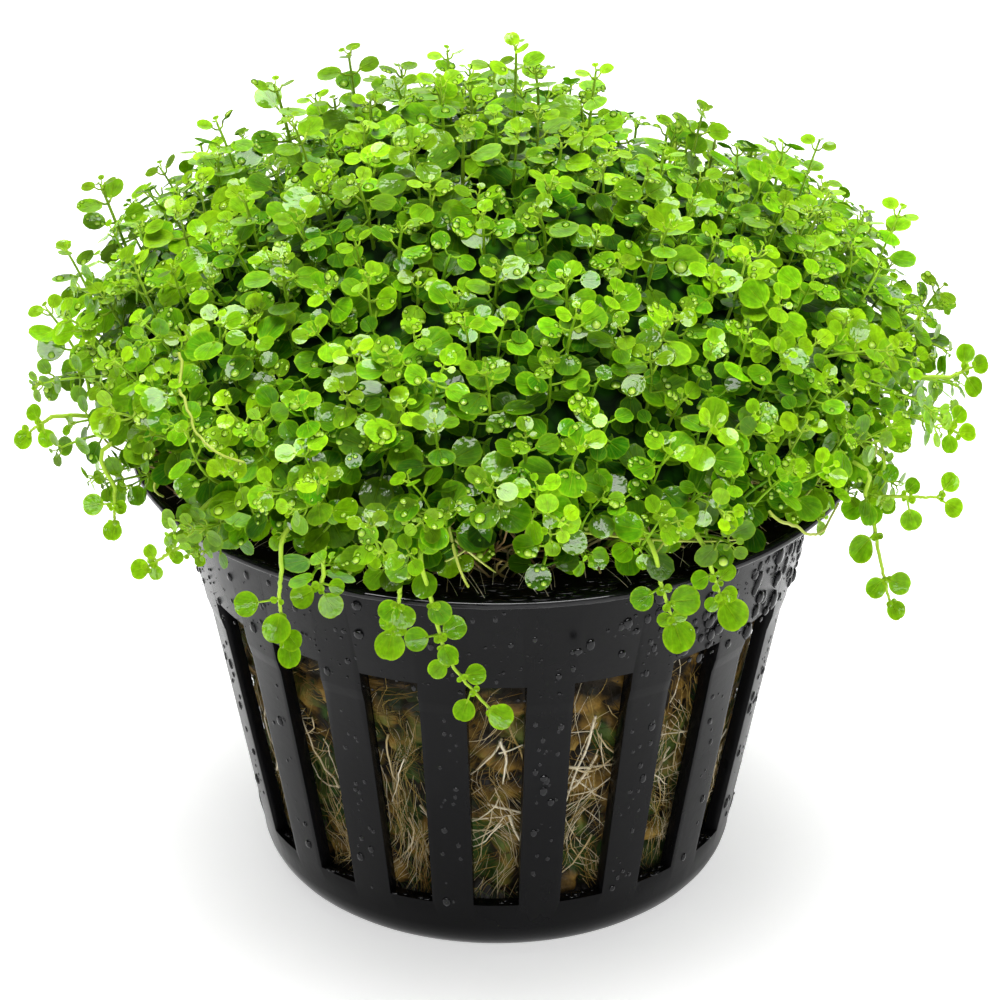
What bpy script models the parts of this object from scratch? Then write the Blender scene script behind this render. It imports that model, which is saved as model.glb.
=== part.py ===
"""Dwarf baby tears in a slotted aquarium net pot: the pot, the rockwool plug in it, the mound of
creeping stems and round leaves, and the stems that trail over the rim.

Metres, +Z up. The origin is the middle of the pot's flat base and the front is -Y. An azimuth is
counted in degrees from the front towards +X."""

import math
import random

import bmesh
import bpy
from mathutils import Matrix, Vector, noise

MM = 0.001
UP = Vector((0.0, 0.0, 1.0))
WELD = 0.00001
FIT_GAP = 0.35 * MM

# Net pot: overall form
POT_HEIGHT = 33.8 * MM
LIP_RADIUS = 26.0 * MM
LIP_THICKNESS = 0.7 * MM
LIP_ROUNDING = 0.2 * MM
COLLAR_TOP_RADIUS = 23.3 * MM
COLLAR_FOOT_RADIUS = 21.3 * MM
COLLAR_FOOT_HEIGHT = 23.1 * MM
COLLAR_STEP = 0.35 * MM
COLLAR_STEP_DROP = 0.8 * MM
WALL_FOOT_RADIUS = 17.6 * MM
WALL_FOOT_HEIGHT = 5.0 * MM
BASE_RADIUS = 14.3 * MM
BASE_ROUNDING = 2.95 * MM
BASE_ROUNDING_STEPS = 3
WALL_THICKNESS = 1.0 * MM
POT_STEPS = 36

# Net pot: slots in the wall, drain slots in the floor, and the moulding bead on the base's edge
SLOT_COUNT = 18
SLOT_TOP = 24.8 * MM
SLOT_FOOT = 4.9 * MM
SLOT_TOP_WIDTH = 4.2 * MM
SLOT_FOOT_WIDTH = 3.2 * MM
SLOT_CUT_START = 13.0 * MM
DRAIN_COUNT = 6
DRAIN_START = 5.5 * MM
DRAIN_END = 12.0 * MM
DRAIN_WIDTH = 2.6 * MM
BEAD_THICKNESS = 0.9 * MM
BEAD_RING_RADIUS = 15.7 * MM
BEAD_FROM, BEAD_TO = -72.0, -2.0
BEAD_POINTS = 12

# Rockwool plug
PLUG_TOP = 31.5 * MM
PLUG_STEPS = 28
PLUG_RINGS = 6
PLUG_DENT = 1.2 * MM
PLUG_TUFT = 3.2 * MM

# Leaf mound: a neck in the pot's mouth, a skirt that overhangs the lip, and a low dome
NECK_RADIUS = 21.4 * MM
NECK_TOP = 37.6 * MM
NECK_STEPS = 24
SKIRT_RADIUS = 27.0 * MM
SKIRT_HEIGHT = 36.4 * MM
MOUND_RADIUS = 31.2 * MM
MOUND_WIDEST = 40.5 * MM
MOUND_TOP = 58.6 * MM
DOME_POWER = 1.6
DOME_LEAN = -2.2 * MM
DOME_SHARE = 0.72
MOUND_SUBDIVISIONS = 4
MOUND_LUMP = 0.9 * MM
MOUND_LUMP_SIZE = 6.0 * MM
SKIRT_SHARE = 0.3
TUFT_SHARE = 0.34
TUFT_RISE = 0.8
DOME_TUFT, DOME_HOLLOW = 1.0 * MM, 2.5 * MM
SKIRT_TUFT, SKIRT_HOLLOW = 0.0, 1.2 * MM
SHALLOWEST_HOLLOW = 0.4

# Leaves, single on the mound or in opposite pairs on a sprig or a trailing stem
LEAF_SIDES = 6
LEAF_THICKNESS = 0.35 * MM
PETIOLE = 0.32
STEM_RADIUS = 0.24 * MM
STEM_ROOT = 3.4 * MM
LEAF_SET_IN = 0.6
SPRIG_SET_OUT = 0.3
PAIR_RAISE = 0.35
PAIR_CUP = 0.2
PAIR_FACES_UP = 0.6
SPRIG_COUNT = 5
SPRIG_SPACING = 10.0 * MM
SPRIG_LENGTHS = (1.6 * MM, 3.0 * MM)
SPRIG_UPRIGHT = 0.5
SPRIG_PAIRS = ((0.45, 2.1 * MM), (0.9, 1.7 * MM))
LONE_LEAF_COUNT = 40
LONE_LEAF_SPACING = 5.0 * MM
LONE_LEAF_CLEAR = 2.4 * MM
LONE_LEAF = 3.0 * MM
LONE_LEAF_SINK = 2.4 * MM
LONE_LEAF_TILT = 1.1
SCATTER_REACH = 0.94
SEED = 11

# Sprigs that stand out against the sky: azimuth, distance from the axis and length
TALL_SPRIGS = (
    (-134, 11.5, 3.2),
    (-120, 16.0, 3.0),
    (-108, 19.0, 2.4),
    (-165, 5.0, 3.2),
    (147, 6.0, 4.0),
    (121, 9.8, 2.6),
    (108, 16.2, 2.4),
    (103, 22.8, 3.6),
    (100, 28.2, 3.2),
    (92, 30.6, 2.4),
    (-101, 26.8, 3.6),
    (-96, 29.6, 2.8),
    (-88, 30.8, 2.2),
)

# Trailing stems. Each has its route over the rim as (azimuth, radius, height), the azimuth that its
# leaves face, and its leaves: how far along the stem, how many degrees to the left (-) or right of
# its direction, length of the petiole and size
TRAILING_STEMS = {
    "front_1": (
        ((-30.5, 28.0, 35.4), (-32, 27.3, 32.3), (-31.5, 26.9, 29.2)),
        -18,
        ((0.45, -65, 1.5, 1.7), (0.65, -12, 0.1, 2.0), (0.85, 40, 0.3, 1.5), (1, 15, 0.1, 1.8)),
    ),
    "front_2": (
        ((-24, 28.0, 35.7), (-25, 27.6, 34.3)),
        -14,
        ((0.9, -35, 0.5, 1.7), (0.9, 60, 0.6, 1.7), (0.6, 105, 0.6, 1.1)),
    ),
    "front_3": (
        ((-13, 28.0, 35.7), (-13.5, 27.5, 34.0), (-14.5, 27.2, 31.9)),
        -8,
        (
            (0.45, -35, 0.1, 1.5),
            (0.5, 40, 0.1, 1.6),
            (0.82, -60, 0.1, 1.0),
            (0.88, 65, 0.1, 0.9),
            (1, 5, 0.1, 2.0),
        ),
    ),
    "front_4": (
        ((-9, 28.0, 35.6), (-8, 27.3, 32.3), (-6, 27.1, 29.5), (-1, 27.1, 26.4)),
        -4,
        (
            (0.1, 30, 0.1, 1.6),
            (0.37, 100, 0.3, 1.6),
            (0.37, -90, 0.8, 1.6),
            (0.47, 10, 0.1, 1.4),
            (0.6, -70, 0.4, 1.3),
            (0.74, 60, 0.4, 1.4),
            (0.85, -60, 0.8, 1.5),
            (1, 15, 0.2, 1.7),
        ),
    ),
    "front_5": (
        ((22.5, 28.2, 35.6), (24, 27.6, 33.7), (25.5, 27.3, 31.8)),
        14,
        (
            (0.2, -90, 0.8, 1.6),
            (0.6, 65, 0.3, 2.0),
            (0.9, -85, 0.1, 1.0),
            (0.9, 60, 0.1, 1.0),
            (1, -10, 0.1, 2.3),
        ),
    ),
    "front_6": (
        ((30.5, 28.2, 35.3), (33, 27.6, 32.6)),
        18,
        (
            (0.1, -100, 0.4, 1.3),
            (0.45, 100, 0.4, 1.3),
            (0.8, 45, 0.2, 1.1),
            (0.9, -80, 0.4, 1.0),
            (1, 0, 0.3, 2.2),
        ),
    ),
    "right_1": (
        ((66, 28.2, 34.4), (65.5, 29.0, 30.5), (66.5, 29.8, 26.4)),
        22,
        ((0.35, -62, 0.7, 2.0), (0.78, -68, 0.3, 1.5), (0.78, 42, 0.4, 1.6), (1, 5, 0.2, 1.4)),
    ),
    "right_2": (
        ((63, 28.4, 35.0), (66, 30.6, 34.7), (68.5, 32.6, 34.4)),
        24,
        ((0.45, 40, 0.6, 1.2), (0.55, -80, 0.9, 1.5), (1, 50, 0.7, 1.4), (1, -30, 0.7, 1.4)),
    ),
    "right_3": (
        ((82.5, 31.9, 39.8), (83, 33.3, 40.5)),
        30,
        ((0.6, 55, 0.6, 1.4), (0.6, -80, 0.6, 1.5), (1, -10, 0.1, 1.4)),
    ),
    "right_4": (
        ((75, 31.5, 38.6), (76, 32.8, 37.4)),
        30,
        ((0.6, 75, 0.6, 1.3), (0.6, -60, 0.6, 1.3), (1, 30, 0.2, 1.3)),
    ),
    "left_1": (
        ((-77, 31.5, 38.2), (-77.5, 33.0, 37.2)),
        -30,
        ((0.5, -80, 0.4, 1.2), (0.5, 80, 0.5, 1.3), (1, 20, 0.2, 1.4)),
    ),
    "left_2": (
        ((-65.5, 28.8, 35.2), (-65.5, 28.9, 32.7)),
        -22,
        ((0.5, -75, 0.8, 1.5), (0.55, 85, 0.1, 1.0), (1, 4, 0.1, 1.4)),
    ),
    "left_3": (
        ((-46.5, 27.8, 35.0), (-49, 28.9, 33.9), (-51, 30.1, 32.8)),
        -20,
        (
            (0.45, -95, 0.2, 1.0),
            (0.5, 100, 0.1, 0.9),
            (0.85, -90, 0.3, 1.0),
            (0.85, 60, 0.3, 1.0),
            (1, -15, 0.1, 1.4),
        ),
    ),
    "back_1": (
        ((110, 28.2, 35.2), (107, 28.8, 31.5), (105, 29.2, 28.2)),
        112,
        (
            (0.4, -65, 0.5, 1.7),
            (0.4, 60, 0.4, 1.6),
            (0.85, -60, 0.2, 1.5),
            (0.85, 60, 0.2, 1.4),
            (1, 5, 0.2, 1.7),
        ),
    ),
    "back_2": (
        ((134, 31.6, 38.8), (137, 32.9, 36.2)),
        128,
        ((0.5, -75, 0.5, 1.7), (0.5, 70, 0.4, 1.7), (1, -10, 0.2, 1.9)),
    ),
    "back_3": (
        ((157, 28.0, 35.3), (154, 27.6, 31.0), (150, 27.7, 26.6)),
        160,
        (
            (0.25, -60, 0.5, 1.6),
            (0.25, 70, 0.4, 1.8),
            (0.6, -65, 0.4, 1.5),
            (0.6, 65, 0.4, 1.5),
            (0.9, 60, 0.1, 1.3),
            (1, -10, 0.1, 1.8),
        ),
    ),
    "back_4": (
        ((178, 31.7, 39.2), (181, 32.6, 36.4), (183, 32.5, 33.8)),
        178,
        ((0.45, -60, 0.5, 1.9), (0.45, 65, 0.5, 1.8), (0.8, 75, 0.3, 1.4), (1, 5, 0.1, 2.0)),
    ),
    "back_5": (
        ((202, 28.1, 35.3), (205, 27.7, 32.0), (207, 27.6, 28.8)),
        198,
        (
            (0.35, -70, 0.4, 1.7),
            (0.35, 65, 0.6, 1.6),
            (0.8, -65, 0.2, 1.4),
            (0.8, 60, 0.2, 1.5),
            (1, 10, 0.1, 1.9),
        ),
    ),
    "back_6": (
        ((224, 31.6, 39.4), (221, 32.8, 37.2)),
        228,
        ((0.5, -65, 0.5, 1.7), (0.5, 75, 0.5, 1.8), (1, 5, 0.2, 1.8)),
    ),
    "back_7": (
        ((246, 28.2, 35.2), (248, 28.7, 31.0), (249, 29.0, 27.0)),
        244,
        (
            (0.25, -65, 0.5, 1.7),
            (0.25, 60, 0.4, 1.6),
            (0.6, -70, 0.4, 1.5),
            (0.6, 60, 0.5, 1.6),
            (1, 5, 0.2, 1.8),
        ),
    ),
}
ROUTE_POINTS = 5
LEAF_FACES_UP = 0.5


def polar(azimuth, radius, height):
    """The point at an azimuth in degrees, a distance from the pot's axis and a height."""
    angle = math.radians(azimuth)
    return Vector((radius * math.sin(angle), -radius * math.cos(angle), height))


def blend(start, end, share):
    return start + (end - start) * share


def material(name, colour, roughness):
    made = bpy.data.materials.new(name)
    made.use_nodes = True
    shader = made.node_tree.nodes["Principled BSDF"]
    shader.inputs["Base Color"].default_value = (*colour, 1.0)
    shader.inputs["Roughness"].default_value = roughness
    shader.inputs["Metallic"].default_value = 0.0
    return made


def new_object(name, mesh, collection):
    made = bpy.data.objects.new(name, mesh)
    collection.objects.link(made)
    return made


def from_bmesh(name, shape, collection):
    bmesh.ops.recalc_face_normals(shape, faces=shape.faces)
    mesh = bpy.data.meshes.new(name)
    shape.to_mesh(mesh)
    shape.free()
    return new_object(name, mesh, collection)


def realised(obj, weld=WELD):
    """A mesh object of what obj's curve or modifiers make, welded, in obj's place."""
    bpy.context.view_layer.update()
    graph = bpy.context.evaluated_depsgraph_get()
    mesh = bpy.data.meshes.new_from_object(obj.evaluated_get(graph))
    shape = bmesh.new()
    shape.from_mesh(mesh)
    bmesh.ops.remove_doubles(shape, verts=shape.verts, dist=weld)
    name, collection, place = obj.name, obj.users_collection[0], obj.matrix_world.copy()
    bpy.data.objects.remove(obj)
    bpy.data.meshes.remove(mesh)
    made = from_bmesh(name, shape, collection)
    made.matrix_world = place
    return made


def turned(name, profile, steps, collection):
    """A solid turned about Z from (radius, height) points that run down its outer side."""
    mesh = bpy.data.meshes.new(name)
    points = [(radius, 0.0, height) for radius, height in profile]
    mesh.from_pydata(points, [(i, i + 1) for i in range(len(points) - 1)], [])
    made = new_object(name, mesh, collection)
    screw = made.modifiers.new("Turn", "SCREW")
    screw.steps = screw.render_steps = steps
    screw.use_merge_vertices = True
    screw.merge_threshold = WELD
    return made


def tube(name, points, radius, collection):
    """A square-sided tube along points, as a welded mesh."""
    curve = bpy.data.curves.new(name, "CURVE")
    curve.dimensions = "3D"
    curve.bevel_depth = radius
    curve.bevel_resolution = 0
    curve.use_fill_caps = True
    line = curve.splines.new("POLY")
    line.points.add(len(points) - 1)
    for slot, point in zip(line.points, points):
        slot.co = (*point, 1.0)
    return realised(new_object(name, curve, collection))


def boolean(obj, tool, operation, solver="EXACT"):
    """Cuts obj with tool, or fuses tool to it, and hides tool."""
    modifier = obj.modifiers.new(tool.name, "BOOLEAN")
    modifier.operation = operation
    modifier.solver = solver
    modifier.object = tool
    tool.hide_render = True
    tool.display_type = "WIRE"


def fused(obj, tool):
    """Obj with tool fused to it, as a plain mesh; tool is used up."""
    boolean(obj, tool, "UNION", "MANIFOLD")
    made = realised(obj, weld=0.0)
    bpy.data.objects.remove(tool)
    return made


def shade(obj, finish, angle=35.0):
    obj.data.materials.append(finish)
    obj.data.shade_smooth()
    obj.data.set_sharp_from_angle(angle=math.radians(angle))


# Net pot


def base_rounding():
    """(radius, height) points of the rounded edge between wall and base, from the wall down."""
    points = []
    for step in range(BASE_ROUNDING_STEPS, -1, -1):
        angle = math.radians(90.0 * step / BASE_ROUNDING_STEPS)
        radius = BASE_RADIUS + BASE_ROUNDING * math.sin(angle)
        points.append((radius, BASE_ROUNDING * (1.0 - math.cos(angle))))
    return points


def wall_radius(height):
    """Outer radius of the slotted wall at a height above its foot."""
    top = COLLAR_FOOT_HEIGHT - COLLAR_STEP_DROP
    share = (height - WALL_FOOT_HEIGHT) / (top - WALL_FOOT_HEIGHT)
    return blend(WALL_FOOT_RADIUS, COLLAR_FOOT_RADIUS - COLLAR_STEP, share)


def inner_wall(height):
    """Inner radius of the pot at a height above the floor's rounded corner."""
    if height < COLLAR_FOOT_HEIGHT - COLLAR_STEP_DROP:
        return wall_radius(height) - WALL_THICKNESS
    low = COLLAR_FOOT_HEIGHT - COLLAR_STEP_DROP
    share = (height - low) / (POT_HEIGHT - low)
    foot = wall_radius(low) - WALL_THICKNESS
    return blend(foot, COLLAR_TOP_RADIUS - WALL_THICKNESS, share)


def pot_profile():
    """From the middle of the floor up the inside, over the lip and down the outside."""
    under_lip = POT_HEIGHT - LIP_THICKNESS
    step = COLLAR_FOOT_HEIGHT - COLLAR_STEP_DROP
    inside = [
        (0.0, WALL_THICKNESS),
        (BASE_RADIUS, WALL_THICKNESS),
        (inner_wall(BASE_ROUNDING), BASE_ROUNDING),
        (inner_wall(step), step),
        (inner_wall(POT_HEIGHT), POT_HEIGHT),
    ]
    lip = [
        (LIP_RADIUS - LIP_ROUNDING, POT_HEIGHT),
        (LIP_RADIUS, POT_HEIGHT - LIP_ROUNDING),
        (LIP_RADIUS, under_lip + LIP_ROUNDING),
        (LIP_RADIUS - LIP_ROUNDING, under_lip),
    ]
    outside = [
        (COLLAR_TOP_RADIUS, under_lip),
        (COLLAR_FOOT_RADIUS, COLLAR_FOOT_HEIGHT),
        (wall_radius(step), step),
        (WALL_FOOT_RADIUS, WALL_FOOT_HEIGHT),
    ]
    return inside + lip + outside + base_rounding() + [(0.0, 0.0)]


def slot_cutter(azimuth, shape):
    """A wedge that cuts one wall slot, wider at the top than at the foot."""
    reach = LIP_RADIUS - SLOT_CUT_START
    block = bmesh.ops.create_cube(shape, size=1.0)["verts"]
    for corner in block:
        high = corner.co.z > 0.0
        far = corner.co.y < 0.0
        width = SLOT_TOP_WIDTH if high else SLOT_FOOT_WIDTH
        level = SLOT_TOP if high else SLOT_FOOT
        radius = SLOT_CUT_START + (reach if far else 0.0)
        spread = radius / wall_radius(level)
        corner.co = Vector((corner.co.x * width * spread, -radius, level))
    bmesh.ops.rotate(shape, verts=block, matrix=Matrix.Rotation(math.radians(azimuth), 3, "Z"))


def drain_cutter(azimuth, shape):
    """A box that cuts one radial drain slot through the floor."""
    size = Matrix.Diagonal((DRAIN_WIDTH, DRAIN_END - DRAIN_START, 4.0 * WALL_THICKNESS, 1.0))
    place = Matrix.Translation((0.0, -(DRAIN_START + DRAIN_END) / 2.0, 0.0))
    turn = Matrix.Rotation(math.radians(azimuth), 4, "Z")
    bmesh.ops.create_cube(shape, size=1.0, matrix=turn @ place @ size)


def cutters(name, make, count, collection):
    """One object with count cutters spread evenly round the axis."""
    shape = bmesh.new()
    for k in range(count):
        make(360.0 * k / count, shape)
    return from_bmesh(name, shape, collection)


def base_bead(collection):
    """The bead of moulding flash along part of the base's edge."""
    spread = [blend(BEAD_FROM, BEAD_TO, k / (BEAD_POINTS - 1)) for k in range(BEAD_POINTS)]
    points = [polar(azimuth, BEAD_RING_RADIUS, BEAD_THICKNESS / 2.0) for azimuth in spread]
    return tube("base_bead", points, BEAD_THICKNESS / 2.0, collection)


def net_pot(parts, helpers, finish):
    pot = turned("net_pot", pot_profile(), POT_STEPS, parts)
    boolean(pot, cutters("wall_slots", slot_cutter, SLOT_COUNT, helpers), "DIFFERENCE")
    boolean(pot, cutters("floor_drains", drain_cutter, DRAIN_COUNT, helpers), "DIFFERENCE")
    boolean(pot, base_bead(helpers), "UNION")
    shade(pot, finish)
    return pot


# Rockwool plug


def rockwool_plug(parts, finish):
    """The plug follows the pot's inside, a gap clear of it, and dents inwards between its tufts."""
    foot = WALL_THICKNESS + FIT_GAP
    heights = [blend(PLUG_TOP, BASE_ROUNDING, k / PLUG_RINGS) for k in range(PLUG_RINGS + 1)]
    side = [(inner_wall(height) - FIT_GAP, height) for height in heights]
    rim = (side[0][0] - PLUG_DENT, PLUG_TOP)
    base = [(BASE_RADIUS - FIT_GAP, foot), (0.0, foot)]
    profile = [(0.0, PLUG_TOP), (side[0][0] / 2.0, PLUG_TOP), rim] + side[1:] + base
    plug = realised(turned("rockwool_plug", profile, PLUG_STEPS, parts))
    for point in plug.data.vertices:
        radius = point.co.to_2d().length
        if radius > BASE_RADIUS and foot < point.co.z < PLUG_TOP:
            dent = 0.5 + 0.5 * noise.noise(point.co / PLUG_TUFT)
            shrink = 1.0 - PLUG_DENT * dent / radius
            point.co.x *= shrink
            point.co.y *= shrink
    shade(plug, finish, 60.0)
    return plug


# Leaf mound


def dome_height(radius):
    """Height of the dome's surface at a distance from the axis."""
    share = min(radius / MOUND_RADIUS, 1.0) ** DOME_POWER
    return blend(MOUND_WIDEST, MOUND_TOP, (1.0 - share) ** (1.0 / DOME_POWER))


def skirt_radius(height):
    """Radius of the overhanging skirt at a height between its lower edge and the widest part."""
    share = (MOUND_WIDEST - height) / (MOUND_WIDEST - SKIRT_HEIGHT)
    return blend(SKIRT_RADIUS, MOUND_RADIUS, math.sqrt(max(0.0, 1.0 - share * share)))


def lumpy(point):
    """The point moved with the mound's lumps and with the lean of its top to one side."""
    swell = min(1.0, max(0.0, point.z - SKIRT_HEIGHT) / (MOUND_WIDEST - SKIRT_HEIGHT))
    outward = Vector((point.x, point.y, point.z - SKIRT_HEIGHT)).normalized()
    lump = noise.noise(point / MOUND_LUMP_SIZE) * MOUND_LUMP * swell
    rise = max(0.0, point.z - MOUND_WIDEST) / (MOUND_TOP - MOUND_WIDEST)
    return point + outward * lump + Vector((DOME_LEAN * rise * rise, 0.0, 0.0))


def dome_point(azimuth, radius):
    return lumpy(polar(azimuth, radius, dome_height(radius)))


def dome_normal(azimuth, radius):
    step = MOUND_RADIUS / 100.0
    inner = max(radius - step, 0.0)
    outer = min(radius, MOUND_RADIUS - step) + step / 2.0
    slope = (dome_height(inner) - dome_height(outer)) / (outer - inner)
    outward = polar(azimuth, 1.0, 0.0)
    return (outward * slope + UP).normalized()


def mound_outline(share):
    """(radius, height) at a share of the way from the dome's top, over the skirt, to its underside."""
    if share < DOME_SHARE:
        angle = math.pi / 2.0 * share / DOME_SHARE
        radius = MOUND_RADIUS * math.sin(angle) ** (2.0 / DOME_POWER)
        return radius, dome_height(radius)
    under = (share - DOME_SHARE) / (1.0 - DOME_SHARE)
    if under < SKIRT_SHARE:
        turn = math.sin(under / SKIRT_SHARE * math.pi / 2.0)
        height = blend(MOUND_WIDEST, SKIRT_HEIGHT, turn)
        return skirt_radius(height), height
    return blend(SKIRT_RADIUS, 0.0, (under - SKIRT_SHARE) / (1.0 - SKIRT_SHARE)), SKIRT_HEIGHT


def tuft_or_hollow(rng, on_dome):
    """How far the mound stands out of its mean form where shoots crowd, or into it between them."""
    tuft = DOME_TUFT if on_dome else SKIRT_TUFT
    hollow = DOME_HOLLOW if on_dome else SKIRT_HOLLOW
    if rng.random() < TUFT_SHARE:
        return rng.uniform(0.0, tuft)
    return -hollow * rng.uniform(1.0, SHALLOWEST_HOLLOW)


def tufted_mound(rng, parts, helpers):
    """The mass of the mound: a ball drawn out to its outline, with tufts and hollows between them."""
    shape = bmesh.new()
    bmesh.ops.create_icosphere(shape, subdivisions=MOUND_SUBDIVISIONS, radius=1.0)
    for vert in shape.verts:
        direction = vert.co.normalized()
        radius, height = mound_outline(math.acos(direction.z) / math.pi)
        outward = Vector((direction.x, direction.y, 0.0)).normalized()
        vert.co = lumpy(outward * radius + UP * height)
        if height > SKIRT_HEIGHT:
            lift = (outward + UP * TUFT_RISE).normalized()
            vert.co += lift * tuft_or_hollow(rng, height > MOUND_WIDEST)
    mound = from_bmesh("leaf_mound", shape, parts)
    foot = PLUG_TOP + FIT_GAP
    neck_profile = [(0.0, NECK_TOP), (NECK_RADIUS, NECK_TOP), (NECK_RADIUS, foot), (0.0, foot)]
    neck = realised(turned("mound_neck", neck_profile, NECK_STEPS, helpers))
    boolean(mound, neck, "UNION", "MANIFOLD")
    return mound


def basis(along, facing):
    """A rotation whose X is along and whose Z is as near facing as it can be."""
    along = along.normalized()
    across = facing.cross(along).normalized()
    return Matrix((along, across, along.cross(across))).transposed().to_4x4()


def add_leaf(shape, foot, along, facing, size, petiole=PETIOLE):
    """A round leaf, its foot at foot and its blade lying along and facing.

    The petiole is a share of the blade's size."""
    made = bmesh.ops.create_uvsphere(shape, u_segments=LEAF_SIDES, v_segments=2, radius=0.5)
    verts = made["verts"]
    ring = [vert for vert in verts if abs(vert.co.z) < 0.1]
    first = math.atan2(ring[0].co.y, ring[0].co.x)
    bmesh.ops.rotate(shape, verts=verts, matrix=Matrix.Rotation(math.pi - first, 3, "Z"))
    ring[0].co.x -= petiole
    squash = Matrix.Diagonal((size, size, LEAF_THICKNESS, 1.0))
    stand = Matrix.Translation((0.5 + petiole, 0.0, 0.0))
    place = Matrix.Translation(foot) @ basis(along, facing) @ squash @ stand
    bmesh.ops.transform(shape, verts=verts, matrix=place)


def add_pair(shape, joint, stem, across, size):
    """Two opposite leaves on a stem, raised a little towards its tip."""
    for side in (1.0, -1.0):
        foot = joint + across * side * STEM_RADIUS * SPRIG_SET_OUT
        facing = stem + UP * PAIR_FACES_UP - across * side * PAIR_CUP
        add_leaf(shape, foot, across * side + stem * PAIR_RAISE, facing, size)


def add_sprig(stems, leaves, root, stem, turn, length):
    """A short upright shoot with two crossed pairs of leaves."""
    depth = length + STEM_ROOT
    along = basis(stem, Vector((1.0, 0.1, 0.0)))
    middle = root + stem * (length - STEM_ROOT) / 2.0
    place = Matrix.Translation(middle) @ along @ Matrix.Rotation(math.radians(90.0), 4, "Y")
    bmesh.ops.create_cone(
        stems,
        cap_ends=True,
        segments=3,
        radius1=STEM_RADIUS,
        radius2=STEM_RADIUS,
        depth=depth,
        matrix=place,
    )
    across = (along @ Matrix.Rotation(turn, 4, "X")).to_3x3().col[1]
    for share, size in SPRIG_PAIRS:
        add_pair(leaves, root + stem * length * share, stem, across, size)
        across = across.cross(stem)


def scattered(rng, count, spacing, taken, keep_clear):
    """Places on the dome as (azimuth, radius), each spacing from the others and clear of taken."""
    places = []
    while len(places) < count:
        azimuth = rng.uniform(-180.0, 180.0)
        radius = SCATTER_REACH * MOUND_RADIUS * math.sqrt(rng.random())
        point = dome_point(azimuth, radius)
        near = [other for other in places if (dome_point(*other) - point).length < spacing]
        close = [other for other in taken if (dome_point(*other) - point).length < keep_clear]
        if not near and not close:
            places.append((azimuth, radius))
    return places


def leaf_mound(parts, helpers, finish):
    rng = random.Random(SEED)
    stems, leaves, blades = bmesh.new(), bmesh.new(), bmesh.new()
    tall = [(azimuth, radius * MM) for azimuth, radius, _ in TALL_SPRIGS]
    lengths = [length * MM for _, _, length in TALL_SPRIGS]
    short = scattered(rng, SPRIG_COUNT, SPRIG_SPACING, tall, SPRIG_SPACING)
    lengths += [rng.uniform(*SPRIG_LENGTHS) for _ in short]
    for (azimuth, radius), length in zip(tall + short, lengths):
        stem = (dome_normal(azimuth, radius) + UP * SPRIG_UPRIGHT).normalized()
        turn = rng.uniform(0.0, math.pi)
        add_sprig(stems, leaves, dome_point(azimuth, radius), stem, turn, length)
    sprigs = tall + short
    for place in scattered(rng, LONE_LEAF_COUNT, LONE_LEAF_SPACING, sprigs, LONE_LEAF_CLEAR):
        normal = dome_normal(*place)
        across = normal.cross(polar(rng.uniform(-180.0, 180.0), 1.0, 0.2)).normalized()
        foot = dome_point(*place) - normal * LONE_LEAF_SINK - across * LONE_LEAF / 4.0
        add_leaf(blades, foot, across + normal * LONE_LEAF_TILT, normal, LONE_LEAF)
    mound = tufted_mound(rng, parts, helpers)
    for name, shape in (("sprig_stems", stems), ("sprig_leaves", leaves), ("lone_leaves", blades)):
        boolean(mound, from_bmesh(name, shape, helpers), "UNION", "MANIFOLD")
    shade(mound, finish, 25.0)
    return mound


# Trailing stems


def smooth_curve(points, count):
    """Points at even steps of a smooth curve through points."""
    ends = [2.0 * points[0] - points[1], *points, 2.0 * points[-1] - points[-2]]
    curve = []
    for step in range(count):
        place = step * (len(points) - 1) / (count - 1)
        k = min(int(place), len(points) - 2)
        a, b, c, d = ends[k : k + 4]
        t = place - k
        bend = (2.0 * a - 5.0 * b + 4.0 * c - d) * t + (3.0 * b - a - 3.0 * c + d) * t * t
        curve.append(b + ((c - a) + bend) * t / 2.0)
    return curve


def at_share(points, share):
    """The point at a share of a path, and the direction there."""
    place = min(share * (len(points) - 1), len(points) - 1.001)
    k = int(place)
    step = points[k + 1] - points[k]
    return points[k] + step * (place - k), step.normalized()


def trailing_stem(name, route, facing, leaves, parts, helpers, finish):
    """A stem over the rim, with each of its leaves fused to it in turn."""
    corners = [polar(azimuth, radius * MM, height * MM) for azimuth, radius, height in route]
    path = smooth_curve(corners, ROUTE_POINTS)
    stem = tube("trailing_stem_" + name, path, STEM_RADIUS, parts)
    faces = (polar(facing, 1.0, 0.0) + UP * LEAF_FACES_UP).normalized()
    for share, angle, petiole, size in leaves:
        joint, along = at_share(path, share)
        along = (along - along.dot(faces) * faces).normalized()
        across = faces.cross(along)
        turn = math.radians(angle)
        blade = bmesh.new()
        way = along * math.cos(turn) + across * math.sin(turn)
        foot = joint - way * STEM_RADIUS * LEAF_SET_IN
        add_leaf(blade, foot, way, faces, size * MM, petiole / size)
        stem = fused(stem, from_bmesh("trailing_leaf", blade, helpers))
    shade(stem, finish, 50.0)
    return stem


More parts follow.
